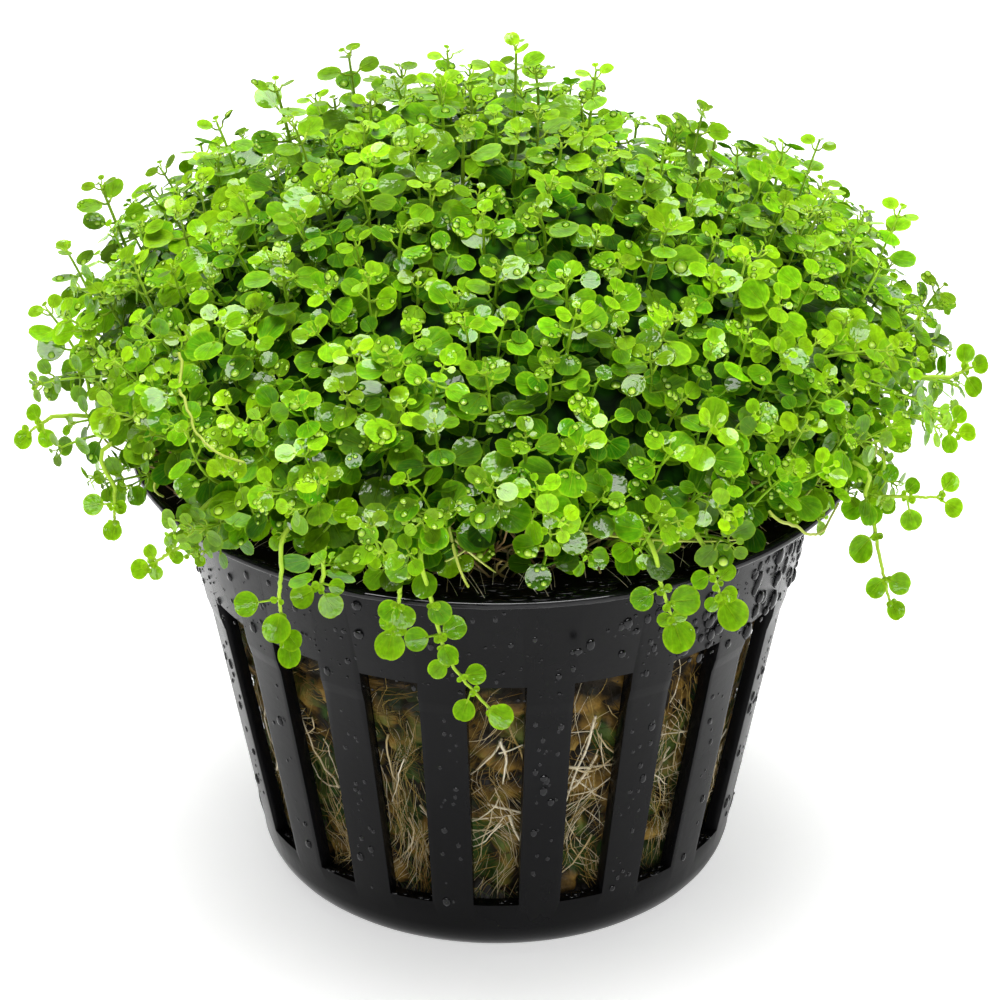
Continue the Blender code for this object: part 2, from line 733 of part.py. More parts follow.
def main():
    for obj in list(bpy.data.objects):
        bpy.data.objects.remove(obj, do_unlink=True)
    parts = bpy.data.collections.new("potted_dwarf_baby_tears")
    helpers = bpy.data.collections.new("cutters_and_leaves")
    for collection in (parts, helpers):
        bpy.context.scene.collection.children.link(collection)
    black = material("black_plastic", (0.012, 0.012, 0.013), 0.28)
    wool = material("rockwool", (0.14, 0.09, 0.03), 0.9)
    green = material("leaf_green", (0.16, 0.40, 0.03), 0.42)
    lime = material("young_leaf", (0.32, 0.55, 0.04), 0.42)
    net_pot(parts, helpers, black)
    rockwool_plug(parts, wool)
    leaf_mound(parts, helpers, green)
    for name, (route, facing, leaves) in TRAILING_STEMS.items():
        trailing_stem(name, route, facing, leaves, parts, helpers, lime)


main()
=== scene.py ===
"""Dwarf baby tears in a slotted aquarium net pot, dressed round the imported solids.

Lengths in the tables are millimetres and azimuths degrees from the front (-Y) towards +X. Every
point set is built in millimetres and stored in metres."""

import math
from types import SimpleNamespace

import bmesh
import bpy
import numpy as np
from mathutils import Matrix, Vector, noise


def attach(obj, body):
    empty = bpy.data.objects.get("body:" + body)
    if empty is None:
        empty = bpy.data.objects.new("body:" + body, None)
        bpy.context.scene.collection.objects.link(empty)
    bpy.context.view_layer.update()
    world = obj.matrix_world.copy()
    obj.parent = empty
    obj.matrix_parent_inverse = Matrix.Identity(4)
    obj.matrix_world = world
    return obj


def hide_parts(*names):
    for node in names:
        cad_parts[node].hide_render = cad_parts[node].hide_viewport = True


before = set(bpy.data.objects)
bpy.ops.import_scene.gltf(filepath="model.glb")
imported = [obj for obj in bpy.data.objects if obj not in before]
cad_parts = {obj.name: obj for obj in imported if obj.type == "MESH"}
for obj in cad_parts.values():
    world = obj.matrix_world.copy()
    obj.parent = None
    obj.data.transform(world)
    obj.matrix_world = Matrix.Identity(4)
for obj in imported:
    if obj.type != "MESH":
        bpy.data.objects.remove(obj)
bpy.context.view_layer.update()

MM = 0.001
UP = np.array((0.0, 0.0, 1.0))

# Net pot, as in the solids
POT_HEIGHT = 33.8
LIP_RADIUS = 26.0
LIP_THICKNESS = 0.7
COLLAR_TOP_RADIUS = 23.3
COLLAR_FOOT_RADIUS = 21.3
COLLAR_FOOT_HEIGHT = 23.1
COLLAR_STEP = 0.35
COLLAR_STEP_DROP = 0.8
STEP_HEIGHT = COLLAR_FOOT_HEIGHT - COLLAR_STEP_DROP
WALL_FOOT_RADIUS = 17.6
WALL_FOOT_HEIGHT = 5.0
BASE_RADIUS = 13.8
BASE_ROUNDING = 3.4
WALL_THICKNESS = 1.0
SLOT_COUNT = 18
SLOT_TOP, SLOT_FOOT = 24.8, 4.9
SLOT_TOP_WIDTH, SLOT_FOOT_WIDTH = 4.2, 3.2
SLOT_CUT_START = 13.0
DRAIN_COUNT, DRAIN_START, DRAIN_END, DRAIN_WIDTH = 6, 5.5, 12.0, 2.6
PLUG_TOP = 31.5
BEAD_THICKNESS, BEAD_RING_RADIUS, BEAD_SPAN = 0.5, 14.6, (-72.0, -2.0)

# Leaf mound, as in the solids
SKIRT_RADIUS, SKIRT_HEIGHT = 27.0, 36.4
MOUND_RADIUS, MOUND_WIDEST, MOUND_TOP = 31.2, 40.5, 58.6
DOME_POWER, DOME_LEAN, DOME_SHARE, SKIRT_SHARE = 1.6, -2.2, 0.72, 0.3
MOUND_LUMP, MOUND_LUMP_SIZE = 0.9, 6.0
LOWEST_SHARE = DOME_SHARE + (1.0 - DOME_SHARE) * SKIRT_SHARE
TALL_SPRIGS = (
    (-134, 11.5, 3.2), (-120, 16.0, 3.0), (-108, 19.0, 2.4), (-165, 5.0, 3.2), (147, 6.0, 4.0),
    (121, 9.8, 2.6), (108, 16.2, 2.4), (103, 22.8, 3.6), (100, 28.2, 3.2), (92, 30.6, 2.4),
    (-101, 26.8, 3.6), (-96, 29.6, 2.8), (-88, 30.8, 2.2),
)

# Trailing stems, as in the solids: each has its route over the rim as (azimuth, radius, height), the
# azimuth that its leaves face, and its leaves as (share along the stem, turn from its direction in
# degrees, petiole, size)
TRAILING_STEMS = {
    "front_1": (
        ((-30.5, 28.0, 35.4), (-32, 27.3, 32.3), (-31.5, 26.9, 29.2)), -18,
        ((0.45, -65, 1.5, 1.7), (0.65, -12, 0.1, 2.0), (0.85, 40, 0.3, 1.5), (1, 15, 0.1, 1.8)),
    ),
    "front_2": (
        ((-24, 28.0, 35.7), (-25, 27.6, 34.3)), -14,
        ((0.9, -35, 0.5, 1.7), (0.9, 60, 0.6, 1.7), (0.6, 105, 0.6, 1.1)),
    ),
    "front_3": (
        ((-13, 28.0, 35.7), (-13.5, 27.5, 34.0), (-14.5, 27.2, 31.9)), -8,
        ((0.45, -35, 0.1, 1.5), (0.5, 40, 0.1, 1.6), (0.82, -60, 0.1, 1.0), (0.88, 65, 0.1, 0.9),
         (1, 5, 0.1, 2.0)),
    ),
    "front_4": (
        ((-9, 28.0, 35.6), (-8, 27.3, 32.3), (-6, 27.1, 29.5), (-1, 27.1, 26.4)), -4,
        ((0.1, 30, 0.1, 1.6), (0.37, 100, 0.3, 1.6), (0.37, -90, 0.8, 1.6), (0.47, 10, 0.1, 1.4),
         (0.6, -70, 0.4, 1.3), (0.74, 60, 0.4, 1.4), (0.85, -60, 0.8, 1.5), (1, 15, 0.2, 1.7)),
    ),
    "front_5": (
        ((22.5, 28.2, 35.6), (24, 27.6, 33.7), (25.5, 27.3, 31.8)), 14,
        ((0.2, -90, 0.8, 1.6), (0.6, 65, 0.3, 2.0), (0.9, -85, 0.1, 1.0), (0.9, 60, 0.1, 1.0),
         (1, -10, 0.1, 2.3)),
    ),
    "front_6": (
        ((30.5, 28.2, 35.3), (33, 27.6, 32.6)), 18,
        ((0.1, -100, 0.4, 1.3), (0.45, 100, 0.4, 1.3), (0.8, 45, 0.2, 1.1), (0.9, -80, 0.4, 1.0),
         (1, 0, 0.3, 2.2)),
    ),
    "right_1": (
        ((66, 28.2, 34.4), (65.5, 29.0, 30.5), (66.5, 29.8, 26.4)), 22,
        ((0.02, -75, 0.9, 1.6), (0.05, -15, 0.2, 1.6), (0.1, 75, 0.5, 1.3), (0.35, -62, 0.7, 2.0),
         (0.78, -68, 0.3, 1.5), (0.78, 42, 0.4, 1.6), (1, 5, 0.2, 1.4)),
    ),
    "right_2": (
        ((63, 28.4, 35.0), (66, 30.6, 34.7), (68.5, 32.6, 34.4)), 24,
        ((0.02, 90, 0.8, 1.4), (0.05, -90, 0.6, 1.5), (0.15, 60, 1.2, 1.3), (0.45, 40, 0.6, 1.2),
         (0.55, -80, 0.9, 1.5), (1, 50, 0.7, 1.4), (1, -30, 0.7, 1.4)),
    ),
    "right_3": (
        ((82.5, 31.9, 39.8), (83, 33.3, 40.5)), 30,
        ((0.6, 55, 0.6, 1.4), (0.6, -80, 0.6, 1.5), (1, -10, 0.1, 1.4)),
    ),
    "right_4": (
        ((75, 31.5, 38.6), (76, 32.8, 37.4)), 30,
        ((0.6, 75, 0.6, 1.3), (0.6, -60, 0.6, 1.3), (1, 30, 0.2, 1.3)),
    ),
    "left_1": (
        ((-77, 31.5, 38.2), (-77.5, 33.0, 37.2)), -30,
        ((0.5, -80, 0.4, 1.2), (0.5, 80, 0.5, 1.3), (1, 20, 0.2, 1.4)),
    ),
    "left_2": (
        ((-65.5, 28.8, 35.2), (-65.5, 28.9, 32.7)), -22,
        ((0.5, -75, 0.8, 1.5), (0.55, 85, 0.1, 1.0), (1, 4, 0.1, 1.4)),
    ),
    "left_3": (
        ((-46.5, 27.8, 35.0), (-49, 28.9, 33.9), (-51, 30.1, 32.8)), -20,
        ((0.45, -95, 0.2, 1.0), (0.5, 100, 0.1, 0.9), (0.85, -90, 0.3, 1.0), (0.85, 60, 0.3, 1.0),
         (1, -15, 0.1, 1.4)),
    ),
    "back_1": (
        ((110, 28.2, 35.2), (107, 28.8, 31.5), (105, 29.2, 28.2)), 112,
        ((0.4, -65, 0.5, 1.7), (0.4, 60, 0.4, 1.6), (0.85, -60, 0.2, 1.5), (0.85, 60, 0.2, 1.4),
         (1, 5, 0.2, 1.7)),
    ),
    "back_2": (
        ((134, 31.6, 38.8), (137, 32.9, 36.2)), 128,
        ((0.5, -75, 0.5, 1.7), (0.5, 70, 0.4, 1.7), (1, -10, 0.2, 1.9)),
    ),
    "back_3": (
        ((157, 28.0, 35.3), (154, 27.6, 31.0), (150, 27.7, 26.6)), 160,
        ((0.25, -60, 0.5, 1.6), (0.25, 70, 0.4, 1.8), (0.6, -65, 0.4, 1.5), (0.6, 65, 0.4, 1.5),
         (0.9, 60, 0.1, 1.3), (1, -10, 0.1, 1.8)),
    ),
    "back_4": (
        ((178, 31.7, 39.2), (181, 32.6, 36.4), (183, 32.5, 33.8)), 178,
        ((0.45, -60, 0.5, 1.9), (0.45, 65, 0.5, 1.8), (0.8, 75, 0.3, 1.4), (1, 5, 0.1, 2.0)),
    ),
    "back_5": (
        ((202, 28.1, 35.3), (205, 27.7, 32.0), (207, 27.6, 28.8)), 198,
        ((0.35, -70, 0.4, 1.7), (0.35, 65, 0.6, 1.6), (0.8, -65, 0.2, 1.4), (0.8, 60, 0.2, 1.5),
         (1, 10, 0.1, 1.9)),
    ),
    "back_6": (
        ((224, 31.6, 39.4), (221, 32.8, 37.2)), 228,
        ((0.5, -65, 0.5, 1.7), (0.5, 75, 0.5, 1.8), (1, 5, 0.2, 1.8)),
    ),
    "back_7": (
        ((246, 28.2, 35.2), (248, 28.7, 31.0), (249, 29.0, 27.0)), 244,
        ((0.25, -65, 0.5, 1.7), (0.25, 60, 0.4, 1.6), (0.6, -70, 0.4, 1.5), (0.6, 60, 0.5, 1.6),
         (1, 5, 0.2, 1.8)),
    ),
}

# Camera, fitted to the pot's rings in the photograph
CAMERA_PLACE = (0.27, -302.0, 183.1)
CAMERA_PITCH = 0.4743
CAMERA_LENS = 170.7


def polar(azimuth, radius, height):
    angle = np.radians(azimuth)
    return np.stack(np.broadcast_arrays(radius * np.sin(angle), -radius * np.cos(angle), height), -1)


def blend(start, end, share):
    return start + (end - start) * share


def unit(v):
    return v / np.maximum(np.linalg.norm(v, axis=-1, keepdims=True), 1e-9)


def dot(a, b):
    return (a * b).sum(-1, keepdims=True)


def shares(rng, middle, width, count):
    """Random values round a middle, kept between 0 and 1."""
    return np.clip(rng.normal(middle, width, count), 0.0, 1.0)


def scattered(rng, azimuth, radius, height):
    """Points at azimuths, with random radii and heights from two (lowest, highest) pairs."""
    return polar(azimuth, rng.uniform(*radius, len(azimuth)), rng.uniform(*height, len(azimuth)))


def taper(rng, thickness, end, count, points):
    """Radii along strands that start at a random thickness and end at a share of it."""
    return rng.uniform(*thickness, (count, 1)) * np.linspace(1.0, end, points)


def fibre_tone(bright, moss=0.0):
    """Tone values of a fibrous finish."""
    return np.stack(np.broadcast_arrays(bright, moss, 0.0), -1)


# Objects and meshes in bulk


def placed(name, data):
    made = bpy.data.objects.new(name, data)
    bpy.context.scene.collection.objects.link(made)
    return made


def fuse(chunks):
    """Joins (points, faces by corner count, {attribute: values}) chunks into one."""
    points, faces, extra, start = [], {}, {}, 0
    for co, by_size, values in chunks:
        points.append(co)
        for size, index in by_size.items():
            faces.setdefault(size, []).append(index + start)
        for key, value in values.items():
            extra.setdefault(key, []).append(value)
        start += len(co)
    joined = {size: np.concatenate(index) for size, index in faces.items()}
    return np.concatenate(points), joined, {k: np.concatenate(v) for k, v in extra.items()}


def make_mesh(name, chunks, finish):
    """One mesh object, in metres, from chunks in millimetres."""
    co, faces, extra = fuse(chunks)
    corners = np.concatenate([index.ravel() for index in faces.values()])
    totals = np.concatenate([np.full(len(index), size) for size, index in faces.items()])
    starts = np.concatenate(([0], np.cumsum(totals)[:-1]))
    mesh = bpy.data.meshes.new(name)
    mesh.vertices.add(len(co))
    mesh.vertices.foreach_set("co", (co * MM).astype(np.float32).ravel())
    mesh.loops.add(len(corners))
    mesh.loops.foreach_set("vertex_index", corners.astype(np.int32))
    mesh.polygons.add(len(totals))
    mesh.polygons.foreach_set("loop_start", starts.astype(np.int32))
    mesh.update(calc_edges=True)
    if "uv" in extra:
        layer = mesh.uv_layers.new(name="leaf")
        layer.data.foreach_set("uv", extra["uv"][corners].astype(np.float32).ravel())
    if "tone" in extra:
        layer = mesh.color_attributes.new("tone", "FLOAT_COLOR", "POINT")
        rgba = np.ones((len(co), 4), np.float32)
        rgba[:, :3] = extra["tone"]
        layer.data.foreach_set("color", rgba.ravel())
    if "rim" in extra:
        ends = np.zeros(len(mesh.edges) * 2, np.int32)
        mesh.edges.foreach_get("vertices", ends)
        crease = extra["rim"][ends].reshape(-1, 2).all(1)
        sharp = mesh.attributes.new("sharp_edge", "BOOLEAN", "EDGE")
        sharp.data.foreach_set("value", crease)
    mesh.polygons.foreach_set("use_smooth", np.ones(len(totals), bool))
    mesh.materials.append(finish)
    made = placed(name, mesh)
    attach(made, "root")
    return made


def tubes(paths, radii, sides, tone=None):
    """Closed tubes along paths (n, k, 3) with radii (n, k)."""
    n, k, _ = paths.shape
    along = unit(np.gradient(paths, axis=1))
    chord = unit(paths[:, -1] - paths[:, 0])
    helper = np.where(np.abs(chord[:, 2:]) < 0.9, UP, np.array((1.0, 0.0, 0.0)))
    side = unit(np.cross(chord, helper))[:, None, :]
    across = unit(side - dot(side, along) * along)
    third = np.cross(along, across)
    turn = np.arange(sides) * 2.0 * np.pi / sides
    ring = across[:, :, None] * np.cos(turn)[:, None] + third[:, :, None] * np.sin(turn)[:, None]
    co = paths[:, :, None] + ring * radii[:, :, None, None]
    grid = np.arange(n * k * sides).reshape(n, k, sides)
    a, b = grid[:, :-1], grid[:, 1:]
    quads = np.stack((a, np.roll(a, -1, 2), np.roll(b, -1, 2), b), -1).reshape(-1, 4)
    caps = np.concatenate((grid[:, 0, ::-1], grid[:, -1]))
    faces = {4: np.concatenate((quads, caps))} if sides == 4 else {4: quads, sides: caps}
    values = {}
    if tone is not None:
        values["tone"] = np.repeat(tone, k * sides, 0)
    return co.reshape(-1, 3), faces, values


def curved(start, middle, end, count):
    """Points of quadratic curves, (n, count, 3)."""
    share = np.linspace(0.0, 1.0, count)[None, :, None]
    a, b, c = start[:, None], middle[:, None], end[:, None]
    return a * (1 - share) ** 2 + b * 2 * share * (1 - share) + c * share**2


def repeated(faces, count, points):
    """The faces of one shape, by corner count, for count copies of its points."""
    shift = (np.arange(count) * points)[:, None, None]
    return {size: (index + shift).reshape(-1, size) for size, index in faces.items()}


def fan(centre, first, second):
    return np.stack((np.full(len(first), centre), first, second), -1)


# Node materials


class Finish:
    """A material whose Principled sockets are set by number or by node."""

    def __init__(self, name, **fixed):
        self.material = bpy.data.materials.new(name)
        self.material.use_nodes = True
        self.tree = self.material.node_tree
        self.shader = self.tree.nodes["Principled BSDF"]
        for key, value in fixed.items():
            self.set(key.replace("_", " "), value)
        self.object_space = self.node("ShaderNodeTexCoord").outputs["Object"]

    def set(self, socket, value):
        self.put(self.shader.inputs[socket], value)

    def put(self, socket, value):
        if isinstance(value, bpy.types.NodeSocket):
            self.tree.links.new(value, socket)
        elif isinstance(value, tuple) and len(value) == 3 and socket.type == "RGBA":
            socket.default_value = (*value, 1.0)
        else:
            socket.default_value = value

    def node(self, kind, settings=None, **inputs):
        made = self.tree.nodes.new(kind)
        for key, value in (settings or {}).items():
            setattr(made, key, value)
        for key, value in inputs.items():
            self.put(made.inputs[key.replace("_", " ")], value)
        return made

    def stretched(self, x, y, z):
        mapping = self.node("ShaderNodeMapping", Vector=self.object_space, Scale=(x, y, z))
        return mapping.outputs["Vector"]

    def noise(self, scale, detail=3.0, vector=None, rough=0.55):
        vector = vector or self.object_space
        made = self.node("ShaderNodeTexNoise", Scale=scale, Detail=detail, Roughness=rough, Vector=vector)
        return made.outputs["Fac"]

    def ramp(self, fac, *stops):
        made = self.node("ShaderNodeValToRGB", Fac=fac)
        elements = made.color_ramp.elements
        while len(elements) < len(stops):
            elements.new(0.5)
        for element, (place, colour) in zip(elements, stops):
            element.position = place
            element.color = (*(colour if isinstance(colour, tuple) else (colour,) * 3), 1.0)
        return made.outputs["Color"]

    def mix(self, fac, a, b, kind="MIX"):
        made = self.node("ShaderNodeMix", {"data_type": "RGBA", "blend_type": kind})
        self.put(made.inputs[0], fac)
        self.put(made.inputs[6], a)
        self.put(made.inputs[7], b)
        return made.outputs[2]

    def math(self, kind, a, b=0.0, c=0.0):
        made = self.node("ShaderNodeMath", {"operation": kind})
        for socket, value in zip(made.inputs, (a, b, c)):
            self.put(socket, value)
        return made.outputs[0]

    def times(self, a, b):
        return self.math("MULTIPLY", a, b)

    def rest(self, share):
        return self.math("SUBTRACT", 1.0, share)

    def lit(self, colour, value):
        return self.node("ShaderNodeHueSaturation", Color=colour, Value=value).outputs["Color"]

    def span(self, value, low, high, to_low=0.0, to_high=1.0):
        made = self.node("ShaderNodeMapRange")
        for socket, number in zip(made.inputs, (value, low, high, to_low, to_high)):
            self.put(socket, number)
        return made.outputs[0]

    def bump(self, height, depth, strength=1.0):
        made = self.node("ShaderNodeBump", Height=height, Distance=depth, Strength=strength)
        self.set("Normal", made.outputs["Normal"])

    def parts(self, colour):
        return self.node("ShaderNodeSeparateColor", Color=colour).outputs

    def attribute(self, name):
        return self.node("ShaderNodeAttribute", {"attribute_name": name}).outputs["Color"]


def black_plastic():
    m = Finish("wet_black_plastic", IOR=1.5, Specular_IOR_Level=0.095)
    haze = m.noise(90.0, 4.0)
    grain = m.noise(900.0, 3.0)
    streak = m.noise(160.0, 4.0, m.stretched(1.0, 1.0, 0.25))
    m.set("Base Color", m.ramp(haze, (0.3, (0.002, 0.002, 0.0023)), (0.75, (0.005, 0.005, 0.0057))))
    m.set("Roughness", m.span(m.mix(0.5, haze, streak), 0.35, 0.65, 0.16, 0.34))
    m.bump(m.mix(0.3, streak, grain), 0.00008, 0.6)
    return m.material


def leaf_surface(name, film):
    """Leaf green from the tone attribute: red is brightness, green is youth, raised as painted light on
    shoots high on the mound's top or far out at its sides, and blue is painted shade for leaves deep in
    the mound.
    """
    m = Finish(name, IOR=1.4, Specular_IOR_Level=0.16, Specular_Tint=(0.7, 1.0, 0.25))
    m.set("Coat Weight", film)
    m.set("Coat IOR", 1.35)
    m.set("Coat Roughness", 0.06)
    tone, youth, depth = m.parts(m.attribute("tone"))[:3]
    place = m.node("ShaderNodeSeparateXYZ", Vector=m.node("ShaderNodeUVMap").outputs["UV"])
    x, y = place.outputs[0], place.outputs[1]
    side = m.math("SUBTRACT", y, 0.5)
    off = m.math("ABSOLUTE", side)
    # Painted shade: the blue tone darkens a leaf to deep green the deeper it sits in the mound, and fades
    # its pale patches, veins and rim.
    green = m.mix(depth, (0.060, 0.36, 0.001), (0.002, 0.055, 0.0002))
    green = m.mix(youth, green, (0.31, 0.62, 0.004))
    patch = m.times(m.span(m.noise(420.0, 3.0), 0.35, 0.65, 0.0, 0.25), m.rest(depth))
    green = m.mix(patch, green, (0.22, 0.50, 0.003))
    pale = m.mix(m.span(depth, 0.0, 1.0, 0.6, 0.15), green, (0.45, 0.70, 0.014))
    turn = m.node("ShaderNodeCombineXYZ", X=m.math("ARCTAN2", side, m.math("ADD", x, 0.12)))
    veins = m.noise(7.5, 2.0, turn.outputs[0])
    green = m.mix(m.span(veins, 0.45, 0.7, 0.0, 0.5), green, pale)
    rib = m.times(m.rest(m.span(off, 0.008, 0.032)), m.rest(m.span(x, 0.55, 0.85)))
    green = m.mix(m.times(rib, 0.7), green, pale)
    far = m.math("POWER", m.math("SUBTRACT", x, 0.5), 2.0)
    edge = m.math("SQRT", m.math("ADD", far, m.math("POWER", off, 2.0)))
    green = m.mix(m.span(edge, 0.40, 0.48, 0.0, 0.85), green, pale)
    value = m.times(m.span(tone, 0, 1, 0.48, 1.28), m.span(edge, 0.0, 0.45, 0.82, 1.08))
    value = m.times(value, m.span(m.noise(2100.0, 3.0), 0.35, 0.65, 0.8, 1.2))
    m.set("Base Color", m.lit(green, value))
    m.set("Roughness", m.span(m.noise(330.0, 2.0), 0.42, 0.58, 0.34, 0.5))
    height = m.math("SUBTRACT", m.noise(1700.0, 2.0), m.times(rib, 0.8))
    m.bump(m.math("ADD", height, m.times(veins, 0.8)), 0.00007, 0.7)
    ripple = m.node("ShaderNodeBump", Height=m.noise(1300.0, 2.0), Distance=0.00016, Strength=0.4)
    m.set("Coat Normal", ripple.outputs["Normal"])
    return m.material


def stem_surface():
    m = Finish("stem_green", IOR=1.4, Roughness=0.36, Specular_IOR_Level=0.2)
    m.set("Specular Tint", (0.8, 1.0, 0.3))
    tone, youth, depth = m.parts(m.attribute("tone"))[:3]
    # Painted shade: the blue tone darkens stems that sit deeper in the mound.
    green = m.mix(depth, (0.34, 0.64, 0.015), (0.06, 0.24, 0.003))
    green = m.mix(youth, green, (0.52, 0.74, 0.07))
    green = m.mix(m.span(m.noise(500.0, 3.0), 0.3, 0.7, 0.0, 0.4), green, (0.22, 0.42, 0.02))
    m.set("Base Color", m.lit(green, m.span(tone, 0, 1, 0.75, 1.25)))
    m.bump(m.noise(2500.0, 2.0), 0.00003, 0.6)
    return m.material


def toned(name, stops, scale, roughness, depth, moss=None):
    """A fibrous finish: the tone attribute's red runs through the stops, its green to moss."""
    m = Finish(name, IOR=1.4, Roughness=roughness, Specular_IOR_Level=0.3)
    tone, green = m.parts(m.attribute("tone"))[:2]
    wave = m.noise(scale, 6.0, rough=0.7)
    fac = m.math("MULTIPLY_ADD", m.math("SUBTRACT", wave, 0.5), 1.1, tone)
    colour = m.ramp(fac, *stops)
    if moss:
        colour = m.mix(green, colour, moss)
    m.set("Base Color", colour)
    m.bump(m.noise(scale * 4.0, 4.0), depth, 0.8)
    return m.material


def dew_surface():
    """Drops on a leaf: its green shows through, with painted shade over the body and round the edge as
    seen from the view, and a painted bright crescent on the side that faces -Y.
    """
    m = Finish("dew", IOR=1.33, Roughness=0.03, Specular_IOR_Level=0.5)
    youth = m.parts(m.attribute("tone"))[1]
    normal = m.node("ShaderNodeNewGeometry").outputs["Normal"]
    away = m.node("ShaderNodeSeparateXYZ", Vector=normal).outputs[1]
    # Painted shade: Layer Weight facing darkens the drop where its surface turns away from the view.
    edge = m.node("ShaderNodeLayerWeight", Blend=0.5).outputs["Facing"]
    green = m.mix(youth, (0.11, 0.42, 0.002), (0.40, 0.70, 0.01))
    # Painted shade: the drop's body is made darker than the leaf green.
    shaded = m.mix(0.35, green, (0.01, 0.10, 0.001))
    # Painted light: the side that faces -Y is made bright, as light focused through water.
    bright = m.mix(m.span(away, -0.5, -0.92), shaded, (0.66, 0.92, 0.12))
    # Painted shade: a near-black colour for the rim.
    rim = m.mix(0.82, green, (0.003, 0.03, 0.001))
    drop_with_painted_light = m.mix(m.span(edge, 0.3, 0.52), bright, rim)
    m.set("Base Color", m.mix(m.span(m.noise(900.0, 1.0), 0.3, 0.7, 0.0, 0.2), drop_with_painted_light, green))
    return m.material


def wet_black():
    """Drops standing on the black pot, dark but for their highlights."""
    m = Finish("water_on_black", IOR=1.33, Specular_IOR_Level=0.5)
    haze = m.noise(300.0, 2.0)
    m.set("Base Color", m.ramp(haze, (0.3, (0.005, 0.005, 0.006)), (0.8, (0.011, 0.011, 0.012))))
    m.set("Roughness", m.span(haze, 0.3, 0.7, 0.05, 0.14))
    return m.material


# Net pot


def wall_radius(height):
    share = (height - WALL_FOOT_HEIGHT) / (STEP_HEIGHT - WALL_FOOT_HEIGHT)
    return blend(WALL_FOOT_RADIUS, COLLAR_FOOT_RADIUS - COLLAR_STEP, share)


def collar_radius(height):
    share = (height - COLLAR_FOOT_HEIGHT) / (POT_HEIGHT - LIP_THICKNESS - COLLAR_FOOT_HEIGHT)
    return blend(COLLAR_FOOT_RADIUS, COLLAR_TOP_RADIUS, share)


def inner_wall(height):
    foot = wall_radius(STEP_HEIGHT) - WALL_THICKNESS
    share = (height - STEP_HEIGHT) / (POT_HEIGHT - STEP_HEIGHT)
    above = blend(foot, COLLAR_TOP_RADIUS - WALL_THICKNESS, share)
    return np.where(height < STEP_HEIGHT, wall_radius(height) - WALL_THICKNESS, above)


def arc(centre, radius, start, end, steps):
    """(radius, height) points of a rounding, angles in degrees from outwards towards up."""
    turns = [math.radians(blend(start, end, k / steps)) for k in range(steps + 1)]
    return [(centre[0] + radius * math.cos(t), centre[1] + radius * math.sin(t)) for t in turns]


def pot_profile():
    under = POT_HEIGHT - LIP_THICKNESS
    half = LIP_THICKNESS / 2.0
    inside = [(0.0, WALL_THICKNESS), (BASE_RADIUS - 1.0, WALL_THICKNESS)]
    inside += [(float(inner_wall(h)), h) for h in (BASE_ROUNDING, 5.0, 14.0, STEP_HEIGHT, 28.0)]
    top = float(inner_wall(POT_HEIGHT))
    inside += arc((top + half, POT_HEIGHT - half), half, 180.0, 90.0, 4)
    lip = arc((LIP_RADIUS - half, POT_HEIGHT - half), half, 90.0, -90.0, 8)
    outside = [
        (COLLAR_TOP_RADIUS + 0.35, under),
        (COLLAR_TOP_RADIUS + 0.1, under - 0.12),
        (COLLAR_TOP_RADIUS - 0.05, under - 0.4),
        (COLLAR_FOOT_RADIUS + 0.02, COLLAR_FOOT_HEIGHT + 0.15),
        (COLLAR_FOOT_RADIUS - 0.06, COLLAR_FOOT_HEIGHT - 0.05),
        (wall_radius(STEP_HEIGHT) + 0.08, STEP_HEIGHT + 0.08),
        (wall_radius(STEP_HEIGHT), STEP_HEIGHT - 0.1),
        (wall_radius(14.0), 14.0),
        (WALL_FOOT_RADIUS, WALL_FOOT_HEIGHT),
    ]
    centre = (BASE_RADIUS, BASE_ROUNDING)
    return inside + lip + outside + arc(centre, BASE_ROUNDING, 0.0, -90.0, 8) + [(0.0, 0.0)]


def turned(name, profile, steps):
    mesh = bpy.data.meshes.new(name)
    points = [(radius * MM, 0.0, height * MM) for radius, height in profile]
    mesh.from_pydata(points, [(i, i + 1) for i in range(len(points) - 1)], [])
    made = placed(name, mesh)
    screw = made.modifiers.new("Turn", "SCREW")
    screw.steps = screw.render_steps = steps
    screw.use_merge_vertices = True
    screw.merge_threshold = 0.00001
    return made


def wedge(shape, azimuth, places):
    """A block whose eight corners are set from the signs of a cube's."""
    block = bmesh.ops.create_cube(shape, size=1.0)["verts"]
    for corner in block:
        corner.co = Vector(places(corner.co)) * MM
    turn = Matrix.Rotation(math.radians(azimuth), 3, "Z")
    bmesh.ops.rotate(shape, verts=block, matrix=turn)


def slot_corner(co):
    width, level = (SLOT_TOP_WIDTH, SLOT_TOP) if co.z > 0 else (SLOT_FOOT_WIDTH, SLOT_FOOT)
    radius = LIP_RADIUS if co.y < 0 else SLOT_CUT_START
    return co.x * width * radius / wall_radius(level), -radius, level


def drain_corner(co):
    return co.x * DRAIN_WIDTH, -DRAIN_END if co.y < 0 else -DRAIN_START, co.z * 4.0


